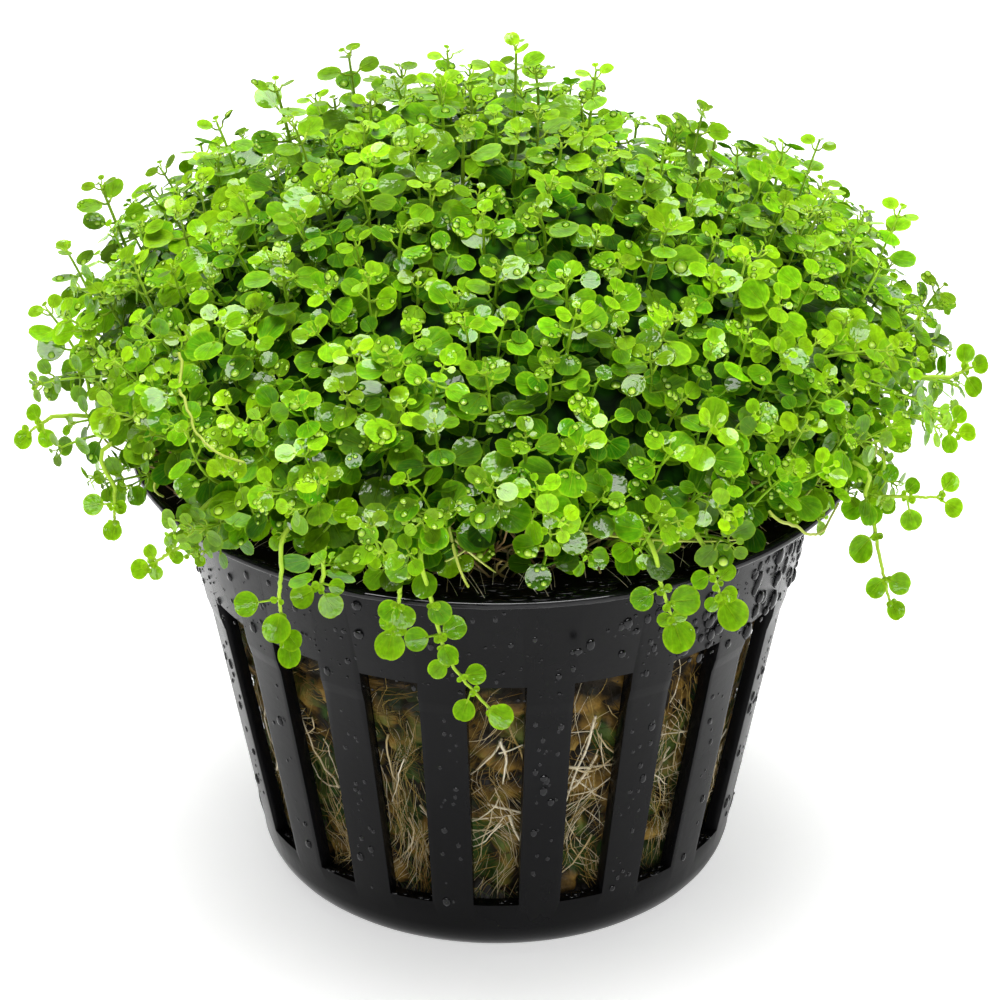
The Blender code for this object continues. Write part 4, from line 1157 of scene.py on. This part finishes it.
def trailing_stem(name, route, facing, table, green, stem_finish):
    """One stem over the rim: its solid's route and leaves, with a root in the mound."""
    rng = np.random.default_rng(sum(map(ord, name)))
    corners = [polar(*corner) for corner in route]
    path = smooth_path(np.array(corners), 9)
    line = smooth_path(np.array(stem_root(corners, route) + list(path)), STEM_POINTS)
    line[3:-1] += rng.normal(0.0, 0.02, (STEM_POINTS - 4, 3))
    leaves, petioles = Leaves(), []
    faces = unit(polar(facing, 1.0, 0.0) + UP * 0.5)
    for share, angle, petiole, size in table:
        joint, along = at_share(path, share)
        along = unit(along - (along @ faces) * faces)
        aside = np.cross(faces, along)
        turn = math.radians(angle)
        way = along * math.cos(turn) + aside * math.sin(turn)
        foot = joint + way * petiole + faces * 0.08
        youth = 0.25 + 0.35 * share + 0.4 * max(0.0, 1.4 - size) + rng.normal(0.0, 0.08)
        tone = np.array((0.6 + rng.normal(0.0, 0.07), np.clip(youth, 0.0, 1.0), 0.0))
        lean = way + faces * rng.normal(0.1, 0.06)
        normal = unit(faces + rng.normal(0.0, 0.10, 3))
        bend = (rng.normal(0.03, 0.05), abs(rng.normal(0.03, 0.03)), 0.05)
        leaves.add(foot, lean, normal, size, bend, tone)
        for side in (-1.0, 1.0):
            way_out = unit(along * 0.7 + aside * side * rng.uniform(0.3, 0.9))
            normal = unit(faces + along * 0.2 + rng.normal(0.0, 0.15, 3))
            bud = joint + way_out * 0.12 + faces * 0.14
            small = rng.uniform(0.35, 0.6)
            leaves.add(bud, way_out + faces * 0.3, normal, small, (0.1, 0.05, 0.0), (0.6, 0.9, 0.0))
        middle = joint + way * petiole * 0.5 - UP * 0.05
        bow = curved(joint[None], middle[None], (foot + way * 0.25)[None], 4)
        petioles.append(tubes(bow, np.array([[0.11, 0.085, 0.075, 0.06]]), 6, tone[None]))
    chunk = leaf_chunk(chosen(leaves.arrays(), slice(None)), 28, (0.35, 0.7, 0.9, 1.0))
    blades = make_mesh("trailing_leaves_" + name, [chunk], green)
    thick = np.linspace(0.17, 0.10, STEM_POINTS)[None]
    line = tubes(line[None], thick, 8, np.array([[0.6, 0.8, 0.0]]))
    stem = make_mesh("trailing_" + name, [line] + petioles, stem_finish)
    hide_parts("trailing_stem_" + name)


def mound(green, inner_green, stem_finish):
    """The whole mound, which replaces its solid; gives its leaves back for the dew."""
    rng = np.random.default_rng(5)
    foliage = Foliage()
    for shoots in (canopy, under_canopy, rim_shoots, side_sprigs):
        shoots(rng, foliage)
    found = foliage.leaves.arrays()
    deep = found["tone"][:, 2] > DEEP_SHADE
    small = found["size"] < 0.95
    large = np.array_split(np.flatnonzero(~deep & ~small), 3)
    kinds = [(f"canopy_leaves_{k + 1}", pick, 14, (0.55, 1.0), green) for k, pick in enumerate(large)]
    kinds.append(("shoot_tips", np.flatnonzero(small & ~deep), 8, (1.0,), green))
    kinds.append(("inner_leaves", np.flatnonzero(deep), 9, (1.0,), inner_green))
    for name, pick, sides, rings, finish in kinds:
        make_mesh(name, [leaf_chunk(chosen(found, pick), sides, rings)], finish)
    for name, strands, sides in (("shoot_stems", foliage.stems, 4), ("petioles", foliage.petioles, 3)):
        chunks = [tubes(path, radii, sides, tone) for path, radii, tone in strands]
        make_mesh(name, chunks, stem_finish)
    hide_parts("leaf_mound")
    return found


def moss(points, extra=0.0):
    """How mossy the wool is at points, 0 to 0.85: patches that thin out under the collar."""
    patch = np.clip((octave_noise(points, 3.6, 9.0) + extra) * 6.0 - 0.8, 0.0, 0.85)
    return patch * np.interp(points[:, 2], (19, 22), (1, 0.2))


# Rockwool, roots, soil and the dark heart of the mound


FIBRE_COUNT, ROOT_HAIR_COUNT, LIP_ROOT_COUNT = 3400, 1400, 300
OLD_STEM_COUNT, LEFT_STEM_COUNT, RUNNER_COUNT = 800, 260, 36
STRAND_HEIGHTS = (1.4, PLUG_TOP + 0.6)
FLOW_RADIUS = 19.0


def turned_skin(name, rows, steps, move, finish):
    """A closed skin from (radius, height) rows turned round, each point then moved."""
    turn = np.arange(steps) * 360.0 / steps
    rings = np.stack([polar(turn, radius, height) for radius, height in rows])
    ends = np.array([(0.0, 0.0, rows[0][1]), (0.0, 0.0, rows[-1][1])])
    co = np.concatenate((move(rings.reshape(-1, 3)), ends))
    grid = np.arange(len(rows) * steps).reshape(len(rows), steps)
    a, b = grid[:-1], grid[1:]
    quads = np.stack((a, b, np.roll(b, -1, 1), np.roll(a, -1, 1)), -1).reshape(-1, 4)
    top, low = fan(len(co) - 2, a[0], np.roll(a[0], -1)), fan(len(co) - 1, np.roll(b[-1], -1), b[-1])
    # Painted shade in the tone: darker the deeper a point lies inside the pot's inner face, and darker
    # towards the bottom and at the top under the collar.
    depth_for_painted_shade = np.clip(inner_wall(co[:, 2]) - np.hypot(co[:, 0], co[:, 1]), 0.4, 2.2)
    shade = np.interp(co[:, 2], (2.5, 7.0, 21.0, 25.0), (0.35, 0.0, 0.0, 0.55))
    bright = np.interp(depth_for_painted_shade, (0.6, 1.8), (0.55, -0.3)) - shade
    faces = {4: quads, 3: np.concatenate((top, low))}
    return make_mesh(name, [(co, faces, {"tone": fibre_tone(bright, moss(co))})], finish)


def octave_noise(points, size, seed):
    shift = Vector((seed * 3.1, seed * 7.7, seed * 1.3))
    return np.array([noise.fractal(Vector(p) / size + shift, 1.0, 2.0, 4) for p in points])


def wool_core(finish):
    rows = [(0.5, PLUG_TOP)]
    rows += [(r, PLUG_TOP + 0.1) for r in np.linspace(2.0, 20.0, 14)]
    heights = np.linspace(PLUG_TOP - 0.2, 1.8, 74)
    rows += [(float(inner_wall(max(h, BASE_ROUNDING))) - 0.95, h) for h in heights]
    rows += [(r, 1.5) for r in (13.4, 9.0, 4.0)]

    def move(points):
        push = octave_noise(points, 1.5, 1.0) * 1.3 - 0.15
        side = (points[:, 2] < PLUG_TOP - 0.1) & (np.hypot(points[:, 0], points[:, 1]) > 13.2)
        out = unit(points * (1.0, 1.0, 0.0))
        moved = points + out * (np.clip(push, -1.6, 0.5) * side)[:, None]
        moved[:, 2] += push * 0.6 * (~side & (points[:, 2] > 20.0))
        return moved

    wool = turned_skin("wool_core", rows, 230, move, finish)
    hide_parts("rockwool_plug")


def lying(rng, azimuth, height, heading, length, depth, points, wander):
    """Paths that lie along the plug's side, at depths below the pot's inner face."""
    count = len(azimuth)
    turn = np.cumsum(rng.normal(0.0, wander, (count, points)), axis=1)
    turn += rng.normal(0.0, wander, (count, 1)) * np.arange(points)
    way = heading[:, None] + turn
    step = (length / (points - 1))[:, None]
    rise = np.clip(height[:, None] + np.cumsum(np.sin(way), axis=1) * step, *STRAND_HEIGHTS)
    radius = inner_wall(rise) - depth[:, None] - np.abs(rng.normal(0.0, 0.1, rise.shape))
    around = azimuth[:, None] + np.degrees(np.cumsum(np.cos(way), axis=1) * step / radius)
    return polar(around, radius, rise)


def combed(rng, azimuth, height, length, depth, points, spread, swing, seed):
    """Paths that follow one slow flow down the plug's side, so that neighbours lie together."""
    away = rng.normal(0.0, spread, len(azimuth))
    step = length / (points - 1)
    around, rise, rows = azimuth.copy(), height.copy(), []
    for _ in range(points):
        radius = inner_wall(np.maximum(rise, BASE_ROUNDING)) - depth
        rows.append(polar(around, radius, rise))
        flow = octave_noise(polar(around, FLOW_RADIUS, rise), 4.4, seed) * swing
        heading = -np.pi / 2.0 + away + flow
        around = around + np.degrees(np.cos(heading) * step / radius)
        rise = np.clip(rise + np.sin(heading) * step, *STRAND_HEIGHTS)
    return np.stack(rows, 1)


def slot_azimuths(rng, count, spread):
    """Azimuths gathered behind the pot's slots."""
    return rng.integers(0, SLOT_COUNT, count) * 360.0 / SLOT_COUNT + rng.uniform(-spread, spread, count)


def wool_fibres(rng, finish):
    count, points = FIBRE_COUNT, 5
    azimuth = slot_azimuths(rng, count, 7.5)
    height = rng.uniform(2.5, 25.5, count)
    place = polar(azimuth, FLOW_RADIUS, height)
    clump = octave_noise(place, 1.7, 6.0)
    length = rng.uniform(2.0, 6.0, count)
    depth = np.clip(0.6 - clump * 0.9 + rng.normal(0.0, 0.18, count), 0.2, 1.6)
    paths = combed(rng, azimuth, height, length, depth, points, 0.28, 2.4, 5.0)
    radii = np.repeat(rng.uniform(0.018, 0.032, (count, 1)), points, 1)
    # Painted shade: fibres are darker the deeper they lie behind the wall, near the bottom and at the top
    # under the collar.
    dark = np.clip((8.0 - height) / 8.0, 0.0, 0.3) + np.clip((height - 22.5) / 4.0, 0.0, 0.5)
    bright = np.clip(0.57 - depth * 0.35 + rng.normal(0.0, 0.14, count) - dark, 0.0, 1.0)
    green = moss(place, 0.1 * np.exp(-(((height - 15) / 3) ** 2)))
    chunk = tubes(paths, radii, 3, fibre_tone(bright, green))
    make_mesh("rockwool_fibres", [chunk], finish)


# Bundles of roots behind the front slots: azimuth, height, heading, length and how many roots
ROOT_BUNDLES = (
    (-2.0, 15.5, -80, 7.0, 9),
    (2.5, 12.5, -105, 6.0, 9),
    (1.0, 20.0, -70, 4.0, 5),
    (17.5, 22.0, -72, 11.0, 6),
    (23.0, 20.0, -108, 10.0, 6),
    (16.0, 16.0, -50, 7.0, 7),
    (23.0, 13.0, -125, 6.5, 8),
    (38.0, 20.0, -68, 8.0, 6),
    (43.0, 16.0, -112, 7.0, 6),
    (37.0, 13.0, -45, 5.0, 4),
    (-21.0, 13.5, -85, 7.0, 7),
    (-17.5, 18.0, -112, 4.0, 3),
    (-42.0, 16.5, -68, 7.0, 5),
    (-38.0, 12.0, -112, 5.0, 6),
)


def slot_roots(rng, finish):
    """Cream root strands in bundles, and fine root hairs, behind the slots."""
    spare = []
    for azimuth in np.repeat(np.arange(3, SLOT_COUNT - 2) * 360.0 / SLOT_COUNT, 3):
        place = (azimuth + rng.uniform(-4.0, 4.0), rng.uniform(9.0, 21.0))
        spare.append((*place, rng.uniform(-140, -40), rng.uniform(4, 9), 6))
    bundles = np.array(list(ROOT_BUNDLES) + spare)
    azimuth, height, heading, length, _ = np.repeat(bundles, bundles[:, 4].astype(int), 0).T
    count, points = len(azimuth), 9
    azimuth = azimuth + rng.normal(0.0, 2.0, count)
    height = height + rng.normal(0.0, 1.6, count)
    heading = np.radians(heading + rng.normal(0.0, 13.0, count))
    heading += (rng.random(count) < 0.25) * rng.normal(0, 1, count)
    length = length * rng.uniform(0.6, 1.35, count)
    depth = rng.uniform(0.05, 0.45, count)
    paths = lying(rng, azimuth, height, heading, length, depth, points, 0.15)
    thick = np.clip(rng.lognormal(-3.05, 0.5, count), 0.024, 0.13)
    radii = thick[:, None] * np.linspace(1.0, 0.4, points)
    bright = np.clip(rng.normal(0.25, 0.2, count) + thick * 4.0, 0.0, 1.0)
    chunks = [tubes(paths, radii, 4, fibre_tone(bright))]
    count, points = ROOT_HAIR_COUNT, 7
    azimuth = slot_azimuths(rng, count, 6.5)
    height = np.clip(rng.normal(14.0, 5.0, count), 4.0, 24.0)
    length, depth = rng.uniform(3.0, 9.0, count), rng.uniform(0.15, 0.55, count)
    paths = combed(rng, azimuth, height, length, depth, points, 0.2, 1.5, 8.0)
    radii = taper(rng, (0.016, 0.03), 0.6, count, points)
    chunks.append(tubes(paths, radii, 3, fibre_tone(shares(rng, 0.25, 0.25, count))))
    make_mesh("slot_roots", chunks, finish)


def soil(finish):
    """The crumbly top of the plug between the lip and the mound's foot."""
    rows = [(r, 32.6 - 0.5 * (r > 21.9)) for r in np.linspace(12.0, 22.0, 16)]
    rows += [(21.6, 31.2), (12.0, 31.2)]

    def move(points):
        top = points[:, 2] > 31.9
        points[:, 2] += np.clip(octave_noise(points, 1.1, 3.0), -0.5, 0.7) * top
        return points

    bed = turned_skin("soil", rows, 260, move, finish)


def old_stems(rng, finish, root_finish):
    """Dry brown stems that cross over the soil, and white root hairs that lie over the lip."""
    count = OLD_STEM_COUNT
    azimuth = rng.uniform(-180.0, 180.0, count)
    base = scattered(rng, azimuth, (16.0, 21.8), (32.4, 34.0))
    tip = scattered(rng, azimuth + rng.normal(0.0, 12.0, count), (20.0, 26.0), (34.6, 40.0))
    left = np.arange(count) < LEFT_STEM_COUNT
    turn = rng.uniform(-100.0, -42.0, count)
    base[left] = scattered(rng, turn, (19.0, 22.0), (33.0, 35.0))[left]
    turn = turn + rng.normal(0.0, 7.0, count)
    tip[left] = scattered(rng, turn, (23.0, 26.6), (35.4, 41.0))[left]
    middle = (base + tip) / 2.0 + rng.normal(0.0, 1.2, (count, 3)) + UP * 0.5
    radii = taper(rng, (0.06, 0.14), 0.7, count, 6)
    bright = shares(rng, 0.45, 0.2, count)
    tone = fibre_tone(bright, np.clip(rng.normal(0.1, 0.2, count), 0.0, 0.7))
    stems = make_mesh("old_stems", [tubes(curved(base, middle, tip, 6), radii, 4, tone)], finish)
    count = LIP_ROOT_COUNT
    azimuth = rng.uniform(-180.0, 180.0, count)
    turn = azimuth + rng.normal(0.0, 5.0, count)
    base = scattered(rng, azimuth, (19.5, 22.0), (32.6, 34.6))
    tip = polar(turn, rng.uniform(22.4, 25.8, count), POT_HEIGHT + 0.05)
    middle = scattered(rng, (azimuth + turn) / 2.0, (22.0, 23.0), (34.2, 35.4))
    radii = taper(rng, (0.022, 0.05), 0.6, count, 8)
    tone = fibre_tone(shares(rng, 0.6, 0.25, count))
    hairs = make_mesh("lip_roots", [tubes(curved(base, middle, tip, 8), radii, 3, tone)], root_finish)


# Pale runners over the mound's front, as (azimuth, radius, height) routes
RUNNERS = (
    ((-50.8, 27.0, 48.0), (-46.8, 28.6, 46.6), (-42.9, 29.6, 45.3), (-40.5, 30.1, 44.1),
     (-33.2, 30.3, 43.6)),
    ((37.0, 30.0, 39.5), (41.0, 29.8, 37.6), (45.0, 29.6, 36.2), (49.0, 29.2, 35.6),
     (54.0, 28.6, 36.4)),
)


def runners(rng, finish):
    """Pale stems that run over the foliage, listed at the front and scattered along the skirt."""
    azimuth = rng.uniform(-180.0, 180.0, RUNNER_COUNT)
    swing = rng.normal(0.0, 9.0, RUNNER_COUNT)
    base = scattered(rng, azimuth, (24.0, 27.0), (38.5, 42.0))
    middle = scattered(rng, azimuth + swing * 0.5, (29.5, 31.0), (37.5, 40.5))
    tip = scattered(rng, azimuth + swing, (24.5, 27.5), (35.2, 37.5))
    radii = taper(rng, (0.08, 0.13), 0.75, RUNNER_COUNT, 12)
    tone = fibre_tone(shares(rng, 0.5, 0.25, RUNNER_COUNT))
    chunks = [tubes(curved(base, middle, tip, 12), radii, 6, tone)]
    for route in RUNNERS:
        path = smooth_path(np.array([polar(*corner) for corner in route]), 24)
        path += octave_noise(path, 2.0, 4.0)[:, None] * 0.3
        thick = np.linspace(0.12, 0.08, 24)[None]
        chunks.append(tubes(path[None], thick, 8, np.array([[0.5, 0.0, 0.0]])))
    make_mesh("runners", chunks, finish)


def base_bead(finish):
    """The bead of moulding flash along part of the base's edge."""
    path = polar(np.linspace(*BEAD_SPAN, 60), BEAD_RING_RADIUS, BEAD_THICKNESS / 2.0)[None]
    radii = np.full((1, 60), BEAD_THICKNESS / 2.0)
    make_mesh("base_bead", [tubes(path, radii, 14)], finish)


def dark_heart(finish):
    """The mass of old stems and leaves that the outer shoots grow from, as a skin painted in dark greens
    that stand for its shade.
    """
    radius, height = mound_outline(np.linspace(0.02, LOWEST_SHARE, 40))
    inwards = unit(np.stack((-np.gradient(height), np.gradient(radius)), -1)) * (5.0, 4.4)
    rows = [(max(r - s[0], 0.4), h - s[1]) for r, h, s in zip(radius, height, inwards)]
    rows = [row for row in rows if row[1] > 36.0]
    rows += [(19.0, 35.2), (18.0, 33.5), (17.5, 31.8), (8.0, 31.7)]

    def move(points):
        out = unit(points - np.array((0.0, 0.0, 36.0)))
        swell = np.clip((points[:, 2] - 32.0) / 4.0, 0.0, 1.0) * 0.9
        return points + out * (octave_noise(points, 2.6, 2.0) * swell)[:, None] + leaned(points)

    heart = turned_skin("mound_heart", rows, 130, move, finish)


def heart_surface():
    m = Finish("foliage_painted_shade", Roughness=0.8, Specular_IOR_Level=0.05)
    cells = m.node("ShaderNodeTexVoronoi", Vector=m.object_space, Scale=620.0)
    # Painted shade: dark greens stand for the shade inside the mound.
    light, middle, dark = (0.09, 0.32, 0.003), (0.03, 0.17, 0.001), (0.01, 0.06, 0.0008)
    green = m.ramp(m.noise(300.0, 4.0), (0.3, dark), (0.55, middle), (0.75, light))
    # Painted shade: near black between the Voronoi cells, as the deepest gaps between leaves.
    spot = m.span(cells.outputs["Distance"], 0.1, 0.6)
    m.set("Base Color", m.mix(spot, green, (0.004, 0.02, 0.001)))
    m.bump(m.rest(cells.outputs["Distance"]), 0.0006, 1.0)
    return m.material


# Stage


# Lamps: name, place in metres, size in metres and power
LAMPS = (
    ("key", (0.0, 0.02, 0.82), 0.7, 9.5),
    ("fill_front", (0.12, -0.62, 0.27), 0.45, 0.7),
    ("sheen_top", (-0.05, -0.06, 0.6), 0.3, 5.0),
    ("sheen_back", (0.0, 0.8, 0.5), 0.7, 1.3),
    ("sheen_front", (-0.03, -0.52, 0.44), 0.9, 8.0),
)


def pale_floor():
    """The floor, white to the eye from any side."""
    reach = 3.0
    mesh = bpy.data.meshes.new("floor")
    corners = [(-reach, -reach, 0), (reach, -reach, 0), (reach, reach, 0), (-reach, reach, 0)]
    mesh.from_pydata(corners, [], [(0, 1, 2, 3)])
    m = Finish("pale_floor", Roughness=0.9, Specular_IOR_Level=0.1, Emission_Strength=0.6)
    m.set("Emission Color", (1.0, 1.0, 1.0))
    m.set("Base Color", m.ramp(m.noise(6.0, 2.0), (0.0, 0.84), (1.0, 0.86)))
    mesh.materials.append(m.material)
    placed("floor", mesh)


def studio_sky(scene):
    """A white surround, dim behind the camera and brighter behind the object."""
    world = bpy.data.worlds.new("studio")
    scene.world = world
    world.use_nodes = True
    tree = world.node_tree
    sky = tree.nodes["Background"]
    coord = tree.nodes.new("ShaderNodeTexCoord")
    split = tree.nodes.new("ShaderNodeSeparateXYZ")
    tree.links.new(coord.outputs["Generated"], split.inputs[0])
    fade = tree.nodes.new("ShaderNodeMapRange")
    tree.links.new(split.outputs["Y"], fade.inputs[0])
    for socket, value in zip(fade.inputs[1:5], (-0.9, 0.5, 0.05, 0.2)):
        socket.default_value = value
    tree.links.new(fade.outputs[0], sky.inputs["Strength"])
    sky.inputs["Color"].default_value = (1.0, 1.0, 1.0, 1.0)


def studio_lamp(name, place, size, power):
    """A lamp aimed at the object; a sheen lamp shows in reflections alone, the key never does."""
    lamp = bpy.data.lights.new(name, "AREA")
    lamp.size, lamp.energy, lamp.shape = size, power, "DISK"
    if name == "sheen_front":
        lamp.shape, lamp.size_y = "RECTANGLE", 0.13
    made = placed(name, lamp)
    made.visible_diffuse = not name.startswith("sheen")
    made.visible_glossy = name != "key"
    made.location = place
    aim = Vector((0.0, 0.0, 0.03)) - made.location
    made.rotation_euler = aim.to_track_quat("-Z", "Y").to_euler()


def stage():
    scene = bpy.context.scene
    scene.view_settings.view_transform = "Standard"
    scene.cycles.use_denoising = True
    pale_floor()
    studio_sky(scene)
    for lamp in LAMPS:
        studio_lamp(*lamp)
    camera = bpy.data.cameras.new("camera")
    camera.lens, camera.sensor_width, camera.clip_start = CAMERA_LENS, 36.0, 0.01
    made = placed("camera", camera)
    made.location = Vector(CAMERA_PLACE) * MM
    made.rotation_euler = (math.pi / 2.0 - CAMERA_PITCH, 0.0, 0.0)
    scene.camera = made


stage()
plastic = black_plastic()
green = leaf_surface("leaf_green", 0.55)
inner_green = leaf_surface("inner_leaf_green", 0.12)
trailing_green = leaf_surface("trailing_leaf_green", 0.2)
stem_green = stem_surface()
dark_wool, gold, straw = (0.014, 0.009, 0.003), (0.23, 0.13, 0.018), (0.44, 0.30, 0.07)
tan, cream = (0.66, 0.56, 0.36), (0.85, 0.77, 0.58)
earth_dark, earth_brown, earth_tan = (0.03, 0.018, 0.006), (0.12, 0.07, 0.025), (0.34, 0.2, 0.06)
dry_dark, dry_brown, dry_tan = (0.14, 0.08, 0.025), (0.44, 0.28, 0.11), (0.74, 0.6, 0.34)
olive, lime, pale_lime = (0.28, 0.36, 0.02), (0.45, 0.55, 0.07), (0.66, 0.70, 0.24)
wool_moss, stem_moss = (0.038, 0.095, 0.008), (0.16, 0.30, 0.02)
wool_stops = ((0.1, dark_wool), (0.45, gold), (0.8, straw))
wool = toned("wet_rockwool", wool_stops, 300.0, 0.6, 0.0003, wool_moss)
roots = toned("root_cream", ((0.1, straw), (0.5, tan), (0.8, cream)), 300.0, 0.5, 0.00005)
earth_stops = ((-0.3, earth_dark), (0.2, earth_brown), (0.6, earth_tan))
earth = toned("damp_soil", earth_stops, 700.0, 0.7, 0.0003)
dry_stops = ((0.1, dry_dark), (0.5, dry_brown), (0.9, dry_tan))
dry = toned("dry_stems", dry_stops, 350.0, 0.6, 0.00005, stem_moss)
pale_stops = ((0.1, olive), (0.5, lime), (0.9, pale_lime))
pale_stem = toned("pale_stems", pale_stops, 350.0, 0.45, 0.00004)
net_pot(plastic)
base_bead(plastic)
lip_film(wet_black())
leaves = mound(green, inner_green, stem_green)
for stem_name, (route, facing, leaf_table) in TRAILING_STEMS.items():
    trailing_stem(stem_name, route, facing, leaf_table, trailing_green, stem_green)
draw = np.random.default_rng(21)
dew(draw, leaves, dew_surface())
collar_drops(draw, wet_black())
wool_core(wool)
wool_fibres(draw, wool)
slot_roots(draw, roots)
soil(earth)
old_stems(draw, dry, roots)
runners(draw, pale_stem)
dark_heart(heart_surface())
